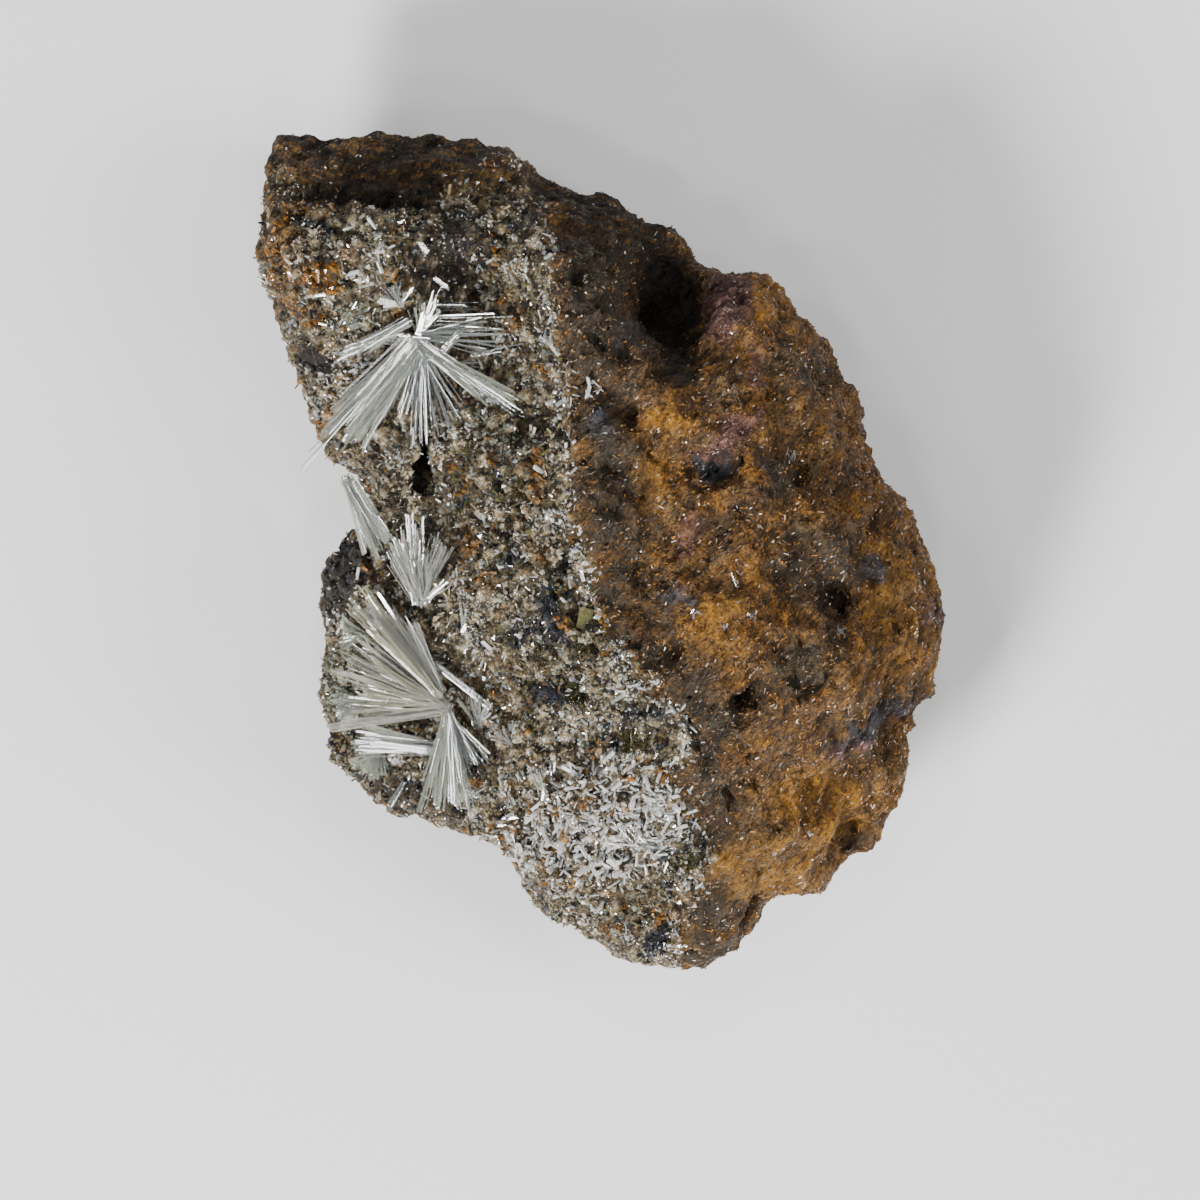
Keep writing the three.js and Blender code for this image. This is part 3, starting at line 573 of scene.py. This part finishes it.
def new_group(name, inputs, outputs):
    """An empty shader node group with named sockets, and its two end nodes."""
    group = bpy.data.node_groups.new(name, "ShaderNodeTree")
    for label, kind, value in inputs:
        socket = group.interface.new_socket(label, in_out="INPUT", socket_type=kind)
        if value is not None:
            socket.default_value = value
    for label, kind in outputs:
        group.interface.new_socket(label, in_out="OUTPUT", socket_type=kind)
    return group, group.nodes.new("NodeGroupInput"), group.nodes.new("NodeGroupOutput")


def grain_group():
    """Fine broken grain: noise over noise, as a height and as a mask."""
    group, given, made = new_group(
        "Grain",
        [("Vector", "NodeSocketVector", None), ("Size per metre", "NodeSocketFloat", 1000.0),
         ("Contrast", "NodeSocketFloat", 2.0)],
        [("Height", "NodeSocketFloat"), ("Mask", "NodeSocketFloat")],
    )
    coarse = add_node(group, "ShaderNodeTexNoise")
    coarse.inputs["Detail"].default_value = 6
    coarse.inputs["Roughness"].default_value = 0.65
    group.links.new(given.outputs["Vector"], coarse.inputs["Vector"])
    group.links.new(given.outputs["Size per metre"], coarse.inputs["Scale"])
    centred = add_node(group, "ShaderNodeMath", operation="SUBTRACT")
    centred.inputs[1].default_value = 0.5
    group.links.new(coarse.outputs["Fac"], centred.inputs[0])
    stretched = add_node(group, "ShaderNodeMath", operation="MULTIPLY_ADD", use_clamp=True)
    stretched.inputs[2].default_value = 0.5
    group.links.new(centred.outputs[0], stretched.inputs[0])
    group.links.new(given.outputs["Contrast"], stretched.inputs[1])
    group.links.new(coarse.outputs["Fac"], made.inputs["Height"])
    group.links.new(stretched.outputs[0], made.inputs["Mask"])
    return group


def sparkle_group():
    """Tiny facets that face every way, so that some catch the light: a bent normal."""
    group, given, made = new_group(
        "Sparkle",
        [("Vector", "NodeSocketVector", None), ("Facets per metre", "NodeSocketFloat", 2500.0),
         ("Strength", "NodeSocketFloat", 0.5), ("Normal", "NodeSocketVector", None)],
        [("Normal", "NodeSocketVector"), ("Facet", "NodeSocketFloat")],
    )
    cells = add_node(group, "ShaderNodeTexVoronoi")
    group.links.new(given.outputs["Vector"], cells.inputs["Vector"])
    group.links.new(given.outputs["Facets per metre"], cells.inputs["Scale"])
    centred = add_node(group, "ShaderNodeVectorMath", operation="SUBTRACT")
    centred.inputs[1].default_value = (0.5, 0.5, 0.5)
    group.links.new(cells.outputs["Color"], centred.inputs[0])
    scaled = add_node(group, "ShaderNodeVectorMath", operation="SCALE")
    group.links.new(centred.outputs[0], scaled.inputs[0])
    group.links.new(given.outputs["Strength"], scaled.inputs["Scale"])
    bent = add_node(group, "ShaderNodeVectorMath", operation="ADD")
    group.links.new(scaled.outputs[0], bent.inputs[0])
    group.links.new(given.outputs["Normal"], bent.inputs[1])
    facing = add_node(group, "ShaderNodeVectorMath", operation="NORMALIZE")
    group.links.new(bent.outputs[0], facing.inputs[0])
    group.links.new(facing.outputs[0], made.inputs["Normal"])
    parts = add_node(group, "ShaderNodeSeparateColor")
    group.links.new(cells.outputs["Color"], parts.inputs[0])
    group.links.new(parts.outputs[0], made.inputs["Facet"])
    return group


def feed(tree, socket, value):
    """Gives a socket a link from another socket, or a plain value."""
    if isinstance(value, bpy.types.NodeSocket):
        tree.links.new(value, socket)
    else:
        socket.default_value = value


def use_group(tree, group, **values):
    """Places a node group in a material, with its own values."""
    node = add_node(tree, "ShaderNodeGroup")
    node.node_tree = group
    for label, value in values.items():
        feed(tree, node.inputs[label.replace("_", " ")], value)
    return node


def mix(tree, share, below, above, blend="MIX"):
    """A colour mix whose share, lower and upper colours are sockets or plain values."""
    node = add_node(tree, "ShaderNodeMix", data_type="RGBA", blend_type=blend)
    for socket, value in ((node.inputs[0], share), (node.inputs[6], below), (node.inputs[7], above)):
        feed(tree, socket, value)
    return node.outputs[2]


def maths(tree, operation, *values):
    node = add_node(tree, "ShaderNodeMath", operation=operation)
    for socket, value in zip(node.inputs, values):
        feed(tree, socket, value)
    return node.outputs[0]


def ramp(tree, share, stops):
    """A colour ramp over a share, from (position, colour) stops."""
    node = add_node(tree, "ShaderNodeValToRGB")
    elements = node.color_ramp.elements
    while len(elements) < len(stops):
        elements.new(1.0)
    for element, (position, color) in zip(elements, stops):
        element.position = position
        element.color = (*color, 1)
    tree.links.new(share, node.inputs[0])
    return node.outputs[0]


def mask(tree, name):
    return add_node(tree, "ShaderNodeAttribute", attribute_name=name).outputs["Fac"]


def clouded_tint(tree, clouds, dull):
    """Each small crystal's own tint, duller where the clouds are thin."""
    tint = add_node(tree, "ShaderNodeAttribute", attribute_name="tint").outputs["Color"]
    return mix(tree, 1.0, tint, mix(tree, clouds, dull, (1, 1, 1, 1)), "MULTIPLY")


def bumped(tree, height, strength, distance):
    """The surface's normal, bent by a height."""
    bump = add_node(tree, "ShaderNodeBump")
    bump.inputs["Strength"].default_value = strength
    bump.inputs["Distance"].default_value = distance
    tree.links.new(height, bump.inputs["Height"])
    return bump.outputs[0]


def squeezed(tree, vector, turn, scale):
    """The object's coordinates turned and pressed, so that a pattern on them runs in streaks."""
    node = add_node(tree, "ShaderNodeMapping", vector_type="TEXTURE")
    node.inputs["Rotation"].default_value = turn
    node.inputs["Scale"].default_value = scale
    tree.links.new(vector, node.inputs["Vector"])
    return node.outputs[0]


def gossan_material(grain, sparkle):
    """Rusty iron-stained rock with its darker, redder and paler patches and the druse's ground, with painted
    shade in the hollow, the gaps, low places and on the shelf.
    """
    material = bpy.data.materials.new("gossan")
    shader = principled(material)
    tree = material.node_tree
    place = add_node(tree, "ShaderNodeTexCoord").outputs["Object"]
    fibre = squeezed(tree, place, (0, 0, math.radians(53)), (3.4, 1, 1))
    layer = squeezed(tree, place, (0, 0, math.radians(-5)), (3.6, 1, 1))
    patches = use_group(tree, grain, Vector=fibre, Size_per_metre=420.0, Contrast=3.2)
    mottle = use_group(tree, grain, Vector=place, Size_per_metre=1100.0, Contrast=3.2)
    threads = use_group(tree, grain, Vector=fibre, Size_per_metre=4200.0, Contrast=3.4)
    bands = use_group(tree, grain, Vector=layer, Size_per_metre=1700.0, Contrast=3.6)
    specks = use_group(tree, grain, Vector=place, Size_per_metre=3600.0, Contrast=4.0)
    coarse = maths(tree, "MULTIPLY", mottle.outputs["Mask"], 0.24)
    coarse = maths(tree, "MULTIPLY_ADD", patches.outputs["Mask"], 0.26, coarse)
    fine = maths(tree, "ADD", threads.outputs["Mask"], specks.outputs["Mask"])
    rust_share = maths(tree, "MULTIPLY_ADD", fine, 0.26, coarse)
    rust = ramp(tree, rust_share, [
        (0.22, (0.013, 0.006, 0.0015)), (0.38, (0.050, 0.021, 0.0035)), (0.52, (0.125, 0.051, 0.006)),
        (0.66, (0.21, 0.090, 0.008)), (0.80, (0.34, 0.155, 0.015)), (0.93, (0.48, 0.29, 0.08)),
    ])
    blotches = use_group(tree, grain, Vector=place, Size_per_metre=380.0, Contrast=6.0)
    grey = ramp(tree, fine, [(0.4, (0.016, 0.013, 0.009)), (1.0, (0.12, 0.090, 0.052))])
    grey_share = maths(tree, "MULTIPLY_ADD", mask(tree, "grey"), 0.62, 0.38)
    grey_share = maths(tree, "MULTIPLY", blotches.outputs["Mask"], grey_share)
    color = mix(tree, grey_share, rust, grey)
    color = mix(tree, maths(tree, "MULTIPLY", mask(tree, "grey"), 0.7), color, (0.012, 0.010, 0.007, 1))
    ochre = ramp(tree, rust_share, [(0.2, (0.13, 0.05, 0.005)), (0.8, (0.50, 0.23, 0.02))])
    color = mix(tree, maths(tree, "MULTIPLY", mask(tree, "ochre"), 0.75), color, ochre)
    mauve = ramp(tree, rust_share, [(0.2, (0.050, 0.022, 0.018)), (0.8, (0.19, 0.088, 0.074))])
    color = mix(tree, maths(tree, "MULTIPLY", mask(tree, "mauve"), 0.85), color, mauve)
    laid = maths(tree, "MULTIPLY", bands.outputs["Mask"], maths(tree, "ADD", fine, 0.15))
    # Blackish rock and painted shade: the shelf's colour runs from blackish to brown, darkened further to
    # stand in for the shade that falls on it.
    shelf = ramp(tree, laid, [
        (0.15, (0.002, 0.0018, 0.0015)), (0.45, (0.006, 0.004, 0.0024)), (0.75, (0.022, 0.012, 0.004)),
        (1.0, (0.12, 0.056, 0.010)),
    ])
    color = mix(tree, maths(tree, "MULTIPLY", mask(tree, "shelf"), 0.9), color, shelf)
    ground = ramp(tree, mottle.outputs["Mask"], [
        (0.2, (0.02, 0.019, 0.018)), (0.45, (0.11, 0.085, 0.050)), (0.6, (0.22, 0.14, 0.055)),
        (0.8, (0.36, 0.31, 0.22)),
    ])
    color = mix(tree, mask(tree, "druse"), color, ground)
    blue = mix(tree, mottle.outputs["Mask"], (0.010, 0.013, 0.022, 1), (0.06, 0.07, 0.09, 1))
    color = mix(tree, mask(tree, "blue"), color, blue)
    # Blackish rock and painted shade: the ovals of blackish mineral, and those standing for shadow round the
    # hollow, under the shelf and in pits, get a blackish brown.
    shade = mix(tree, threads.outputs["Mask"], (0.006, 0.004, 0.003, 1), (0.040, 0.029, 0.017, 1))
    color = mix(tree, maths(tree, "MULTIPLY", mask(tree, "dark"), 0.8), color, shade)
    # Painted shade: the hollow and the gaps are blackened for the deep shadow in them.
    hollow_and_gap_shade = maths(tree, "MAXIMUM", mask(tree, "hollow"), mask(tree, "gap"))
    color = mix(tree, maths(tree, "MULTIPLY", hollow_and_gap_shade, 0.9), color, (0.003, 0.002, 0.0015, 1))
    # Painted shade: low places in the relief are darkened as if shadowed.
    deep = maths(tree, "MULTIPLY", mask(tree, "crevice_shade"), 0.7)
    color = mix(tree, deep, color, (0.012, 0.008, 0.004, 1))
    tree.links.new(color, shader.inputs["Base Color"])
    height = maths(tree, "ADD", threads.outputs["Height"], specks.outputs["Height"])
    height = maths(tree, "ADD", height, mottle.outputs["Height"])
    normal = bumped(tree, height, 1.0, 0.5 * MM)
    glint = use_group(tree, sparkle, Vector=fibre, Facets_per_metre=3600.0, Strength=0.8, Normal=normal)
    tree.links.new(glint.outputs["Normal"], shader.inputs["Normal"])
    glossy = maths(tree, "GREATER_THAN", glint.outputs["Facet"], 0.86)
    rough = maths(tree, "MULTIPLY_ADD", mottle.outputs["Mask"], 0.25, 0.58)
    rough = maths(tree, "MULTIPLY_ADD", glossy, -0.4, rough)
    tree.links.new(rough, shader.inputs["Roughness"])
    shader.inputs["Specular IOR Level"].default_value = 0.28
    shader.inputs["IOR"].default_value = 1.5
    return material


def crystal_material(name, grain, transmission, roughness, variation, uneven=0.0):
    """Clear to milky crystal, coloured by its own tint, its surface smooth or faintly uneven."""
    material = bpy.data.materials.new(name)
    shader = principled(material)
    tree = material.node_tree
    place = add_node(tree, "ShaderNodeTexCoord").outputs["Object"]
    clouds = use_group(tree, grain, Vector=place, Size_per_metre=1800.0, Contrast=2.6)
    dull = (1 - variation, 1 - variation, 1 - variation, 1)
    tree.links.new(clouded_tint(tree, clouds.outputs["Mask"], dull), shader.inputs["Base Color"])
    if uneven:
        normal = bumped(tree, clouds.outputs["Height"], uneven, 0.05 * MM)
        tree.links.new(normal, shader.inputs["Normal"])
    shader.inputs["Roughness"].default_value = roughness
    shader.inputs["IOR"].default_value = 1.59
    shader.inputs["Transmission Weight"].default_value = transmission
    return material


def flake_material(grain):
    """Glossy scales of iron oxide and mica in the bare rock."""
    material = bpy.data.materials.new("scales")
    shader = principled(material)
    tree = material.node_tree
    place = add_node(tree, "ShaderNodeTexCoord").outputs["Object"]
    mottle = use_group(tree, grain, Vector=place, Size_per_metre=2200.0, Contrast=2.6).outputs["Mask"]
    color = clouded_tint(tree, mottle, (0.5, 0.45, 0.4, 1))
    tree.links.new(color, shader.inputs["Base Color"])
    tree.links.new(maths(tree, "MULTIPLY_ADD", mottle, 0.3, 0.2), shader.inputs["Roughness"])
    shader.inputs["IOR"].default_value = 1.7
    return material


def druse_tints(points, masks, random):
    """A tint for each crystal of the druse: alike within a lump, with the regions' stains and chance, and
    painted shade on those in low places, gaps and shadow ovals.
    """
    centres = lump_centres(points)[1]
    chance = np.array([noise.cell(Vector(c) / (0.37 * MM)) for c in centres])
    own = random.random(len(points)) - 0.5
    mixed = 0.53 + 0.4 * field(points, 3.0 * MM, 23.0) + 0.45 * chance + 0.4 * own
    tints = np.array(MIXTURE)[np.searchsorted(MIXTURE_STEPS, mixed)]
    stain = 0.9 * field(points, 2.2 * MM, 21.0) + 0.95 * masks["ochre"] + 0.3 * own - 0.12 * chance
    stained = smooth((stain - 0.28) / 0.4)[:, None]
    tints = tints * (1 - 0.9 * stained) + np.array(ORANGE) * 0.9 * stained
    white = np.maximum(masks["crust"] * 0.6, masks["rim"] * 0.5) * (1 - 0.7 * stained[:, 0])
    tints = np.where((random.random(len(points)) < white)[:, None], np.array(WHITE), tints)
    # Blackish minerals and painted shade: crystals in the blue, gap and shadow ovals get the smoky tint.
    dark = np.maximum(masks["blue"], 0.75 * np.maximum(masks["dark"], masks["gap"]))
    tints = np.where((random.random(len(points)) < dark)[:, None], np.array(SMOKE), tints)
    glassy = masks["glass"] * 0.8
    tints = np.where((random.random(len(points)) < glassy)[:, None], np.array(MOSS), tints)
    # Brightness differs at random, and painted shade darkens the crystals in low places.
    shade = (0.85 + 0.75 * random.random(len(points))) * (1 - 0.5 * masks["crevice_shade"])
    return tints * shade[:, None]


def grow_druse(skin, name, shape, count, size, spread, density, material, seed, tint=None):
    """Crystals all over the druse, pointing out of its lumps and strewn by the spread. The size is across,
    thick and long, in mm."""
    random = np.random.default_rng(seed)
    places, normals, faces = skin.pick(density, count, random)
    centres = lump_centres(places)[1]
    outward = unit(places - centres)
    directions = unit(0.45 * normals + 0.75 * outward + spread * random.normal(size=(count, 3)) * 0.5)
    upright = smooth((normals[:, 2:] + 0.1) / 0.6)
    short = (0.55 + 0.9 * random.random((count, 1)) ** 1.6) * (0.35 + 0.65 * upright)
    scale = np.array(size) * MM * short * (0.8 + 0.4 * random.random((count, 3)))
    masks = {key: values[faces] for key, values in skin.masks.items()}
    tints = druse_tints(places, masks, random) if tint is None else np.tile(tint, (count, 1))
    places = places - directions * scale[:, 2:] * 0.3
    turns = frames_along(directions, random.random(count) * math.tau)
    return joined_copies(name, shape, places, turns, scale, tints, material)


def grow_scales(skin, count, material):
    """Thin scales lying in the bare rock, most along its grain, a few of them bright."""
    random = np.random.default_rng(31)
    masks = skin.masks
    hidden = np.maximum(0.6 * masks["dark"], np.maximum(masks["hollow"], masks["gap"]))
    hidden = np.maximum(hidden, 0.6 * masks["shelf"])
    bare = (1 - masks["druse"]) * (1 - hidden) * (skin.normals[:, 2] > -0.5)
    places, normals, faces = skin.pick(bare, count, random)
    grain = np.array(SCALE_WAY)
    along = unit(grain - normals * (normals @ grain)[:, None] + 0.55 * random.normal(size=(count, 3)))
    turns = frames_along(along, random.random(count) * math.tau)
    scale = np.array(SCALE_SIZE) * (0.5 + 0.8 * random.random((count, 3)))
    share = 0.5 + 0.4 * field(places, 3.5 * MM, 41.0) + 0.5 * (random.random(count) - 0.5)
    tints = np.array(SCALE_MIXTURE)[np.searchsorted(SCALE_STEPS, share)]
    reddish = random.random(count) < masks["mauve"][faces]
    tints = np.where(reddish[:, None], np.array(RED_SCALE), tints)
    greyish = random.random(count) < masks["grey"][faces] * 0.5
    tints = np.where(greyish[:, None], np.array(GREY_SCALE), tints)
    # Blackish rock and painted shade: scales on the shelf and the blue ovals get the darkest tint.
    dark_and_shaded = random.random(count) < np.maximum(0.9 * masks["shelf"], masks["blue"])[faces]
    tints = np.where(dark_and_shaded[:, None], np.array(DARK_SCALE), tints)
    places = places - along * scale[:, 2:] * 0.5
    return joined_copies("rust_scales", crystal_shape(4, 0), places, turns, scale, tints, material)


def frames_facing(directions, facings):
    """Turns for copies whose +Z points along a direction and whose flat side, +Y, faces another."""
    y = unit(facings - directions * (facings * directions).sum(1, keepdims=True))
    return np.stack([np.cross(y, directions), y, directions], axis=2)


def half_ways(places):
    """For each place, the ways a face there looks to throw the key or a lamp of the ring at the camera."""
    lamps = np.array([KEY_PLACE] + ring_places())
    to_lamps = lamps[None] - places[:, None]
    to_camera = np.array(CAMERA_PLACE) - places
    to_lamps /= np.linalg.norm(to_lamps, axis=2, keepdims=True)
    halves = to_lamps + unit(to_camera)[:, None]
    return halves / np.linalg.norm(halves, axis=2, keepdims=True)


def caught_light(feet, turn, climb, reach):
    """For needles that point along these angles, the nearest lamp's half way and the climb that catches it.
    The climb moves by no more than the reach, all in radians."""
    ways = half_ways(feet)
    level = ways[:, :, 0] * np.cos(turn)[:, None] + ways[:, :, 1] * np.sin(turn)[:, None]
    wanted = -np.arctan2(level, ways[:, :, 2])
    nearest = np.abs(wanted - climb[:, None]).argmin(1)
    each = np.arange(len(turn))
    moved = np.clip(wanted[each, nearest] - climb, -reach, reach)
    return ways[each, nearest], climb + moved


def grow_needles(name, fans, material, seed):
    """Fans of long clear needles, each (foot, from, to, length, rise, needles, width, tint). The needles
    of a big fan grow in sheaves of a common length and rise. Those of a small one, unless they are broad,
    become more and thinner laths, most of which catch the light."""
    random = np.random.default_rng(seed)
    places, directions, sizes, tints, facings = [], [], [], [], []
    for foot, start, end, length, rise, needles, width, tint in fans:
        few = needles <= FEW
        bright = few and width < BROAD
        if bright:
            needles = LATHS * needles
            width = LATH_WIDTH * width
            share = LATH_SHARE
        else:
            share = 0 if few else BRIGHT_SHARE
        sheaves = needles if few else 2 + needles // SHEAF
        sheaf = random.integers(0, sheaves, needles)
        turn = np.radians(start + (end - start) * (sheaf + random.random(needles)) / sheaves)
        climb = rise + 4.0 * random.normal(size=sheaves)[sheaf] + 1.2 * random.normal(size=needles)
        common = (1 - 0.38 * random.random(sheaves) ** 1.4)[sheaf]
        reach = length * common * (1 - 0.14 * random.random(needles))
        jitter = random.normal(size=(needles, 3)) * (0.15 + 0.012 * length) * MM
        feet = np.array(foot) * MM + jitter + [0, 0, bright * LATH_LIFT * MM]
        most = math.radians(LATH_TURN if bright else NEEDLE_TURN)
        facing, climb = caught_light(feet, turn, np.radians(climb), most)
        shining = (random.random(sheaves) < share)[sheaf]
        facing = np.where(shining[:, None], facing, unit(np.array(CAMERA_PLACE) - feet))
        way = np.stack([np.cos(turn) * np.cos(climb), np.sin(turn) * np.cos(climb), np.sin(climb)], axis=1)
        broad = width * (0.45 + 0.9 * random.random(needles) ** 2)
        places.append(feet)
        directions.append(way)
        tilt = random.normal(size=(sheaves, 3))[sheaf] + 0.5 * random.normal(size=(needles, 3))
        facings.append(facing + (0.015 if bright else 0.06) * tilt)
        sizes.append(np.stack([1.25 * broad, 0.4 * broad + 0.04, reach], axis=1) * MM)
        shade = (0.76 + 0.24 * random.random(sheaves))[sheaf]
        tints.append(np.array(tint) * shade[:, None])
    directions = np.concatenate(directions)
    turns = frames_facing(directions, np.concatenate(facings))
    return joined_copies(name, crystal_shape(4, 0.012), np.concatenate(places), turns, np.concatenate(sizes),
                         np.concatenate(tints), material)


def height_at(rock, x, y):
    """The height of the rock's surface, in mm, under a place on it."""
    place = rock.ray_cast((x * MM, y * MM, 0.1), (0, 0, -1))[1]
    return place.z / MM


def spray_fans(rock, root, fans):
    """A spray's fans with their feet in mm. A foot well away from the spray's root stands on the rock."""
    placed = []
    for dx, dy, *fan in fans:
        x, y, z = root[0] + dx, root[1] + dy, root[2]
        if math.hypot(dx, dy) > ROOT_REACH:
            z = height_at(rock, x, y) + FOOT_RISE
        placed.append(((x, y, z), *fan))
    return placed


def tuft_fans(rock):
    """The tufts' fans, each with its foot on the rock's surface."""
    return [((x, y, height_at(rock, x, y) - TUFT_SINK), *fan) for x, y, *fan in TUFTS]


def ring_places():
    """Where the small lamps stand, in a ring around the view's axis."""
    out = RING_DISTANCE * math.sin(math.radians(RING_TILT))
    up = RING_DISTANCE * math.cos(math.radians(RING_TILT))
    turns = [math.radians(turn) for turn in RING_TURNS]
    return [AIM + Vector((out * math.cos(turn), out * math.sin(turn), up)) for turn in turns]


def add_lamp(name, place, size, power):
    light = bpy.data.lights.new(name, "AREA")
    light.size = size
    light.energy = power
    lamp = bpy.data.objects.new(name, light)
    lamp.location = place
    lamp.rotation_euler = (AIM - place).to_track_quat("-Z", "Y").to_euler()
    bpy.context.scene.collection.objects.link(lamp)


def build_stage():
    """A plain pale floor under a soft key light, a side light, the ring of lamps and an even fill."""
    bpy.ops.mesh.primitive_plane_add(size=FLOOR_SIZE)
    floor = bpy.context.object
    floor.name = "floor"
    paint = bpy.data.materials.new("floor_paint")
    shader = principled(paint)
    shader.inputs["Base Color"].default_value = (0.55, 0.55, 0.55, 1)
    shader.inputs["Roughness"].default_value = 0.8
    floor.data.materials.append(paint)
    world = bpy.data.worlds.new("studio")
    world.use_nodes = True
    background = world.node_tree.nodes["Background"]
    background.inputs["Color"].default_value = (1, 1, 1, 1)
    background.inputs["Strength"].default_value = FILL
    bpy.context.scene.world = world
    add_lamp("key", KEY_PLACE, KEY_SIZE, KEY_POWER)
    add_lamp("side", SIDE_PLACE, SIDE_SIZE, SIDE_POWER)
    for number, place in enumerate(ring_places()):
        add_lamp("ring_%d" % number, place, RING_SIZE, RING_POWER)


def build_camera():
    camera = bpy.data.cameras.new("camera")
    camera.sensor_width = 36
    camera.lens = camera.sensor_width * CAMERA_HEIGHT / PHOTO_SPAN
    camera.clip_start = 0.05
    camera.clip_end = 5
    eye = bpy.data.objects.new("camera", camera)
    eye.location = CAMERA_PLACE
    bpy.context.scene.collection.objects.link(eye)
    bpy.context.scene.camera = eye


build_camera()
build_stage()

grain = grain_group()
sparkle = sparkle_group()
gossan = gossan_material(grain, sparkle)
sugar = crystal_material("sugar", grain, transmission=0.6, roughness=0.11, variation=0.3, uneven=0.15)
needle = crystal_material("needle", grain, transmission=0.9, roughness=0.12, variation=0.03)
scales = flake_material(grain)

rock, masks, crevice_shade = build_rock()
rock.data.materials.append(gossan)
skin = Skin(rock, masks, crevice_shade)
level = skin.normals[:, 2] > 0.6
crust = skin.masks["crust"]
hidden = np.maximum(0.7 * skin.masks["dark"], 0.6 * skin.masks["gap"])
wide = skin.masks["druse"] * (1 - hidden) + 0.2 * skin.masks["rim"]
pieces = {
    "rock": rock,
    "druse_grains": grow_druse(
        skin, "druse_grains", grain_shape(5), count=19500, size=(0.47, 0.41, 0.58), spread=1.0,
        density=wide, material=sugar, seed=3),
    "druse_sparks": grow_druse(
        skin, "druse_sparks", grain_shape(4), count=24500, size=(0.27, 0.23, 0.36), spread=1.2,
        density=wide * (1 - 0.6 * crust), material=sugar, seed=4),
    "druse_blades": grow_druse(
        skin, "druse_blades", crystal_shape(6, 0.05), count=3200, size=(0.28, 0.15, 0.85), spread=0.5,
        density=wide * (1 + crust), material=sugar, seed=5),
    "crust_crystals": grow_druse(
        skin, "crust_crystals", crystal_shape(6, 0.06), count=620, size=(0.36, 0.18, 1.3), spread=2.0,
        density=(crust + 0.012 * wide) * level, material=sugar, seed=8, tint=WHITE),
    "rust_scales": grow_scales(skin, count=16000, material=scales),
    "tufts": grow_needles("tufts", tuft_fans(rock), needle, seed=70),
}
for seed, (name, (root, fans)) in enumerate(SPRAYS.items(), start=50):
    piece = grow_needles("needles_" + name, spray_fans(rock, root, fans), needle, seed)
    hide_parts(name)
    pieces[piece.name] = piece
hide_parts("matrix")
for name, piece in pieces.items():
    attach(piece, "root")
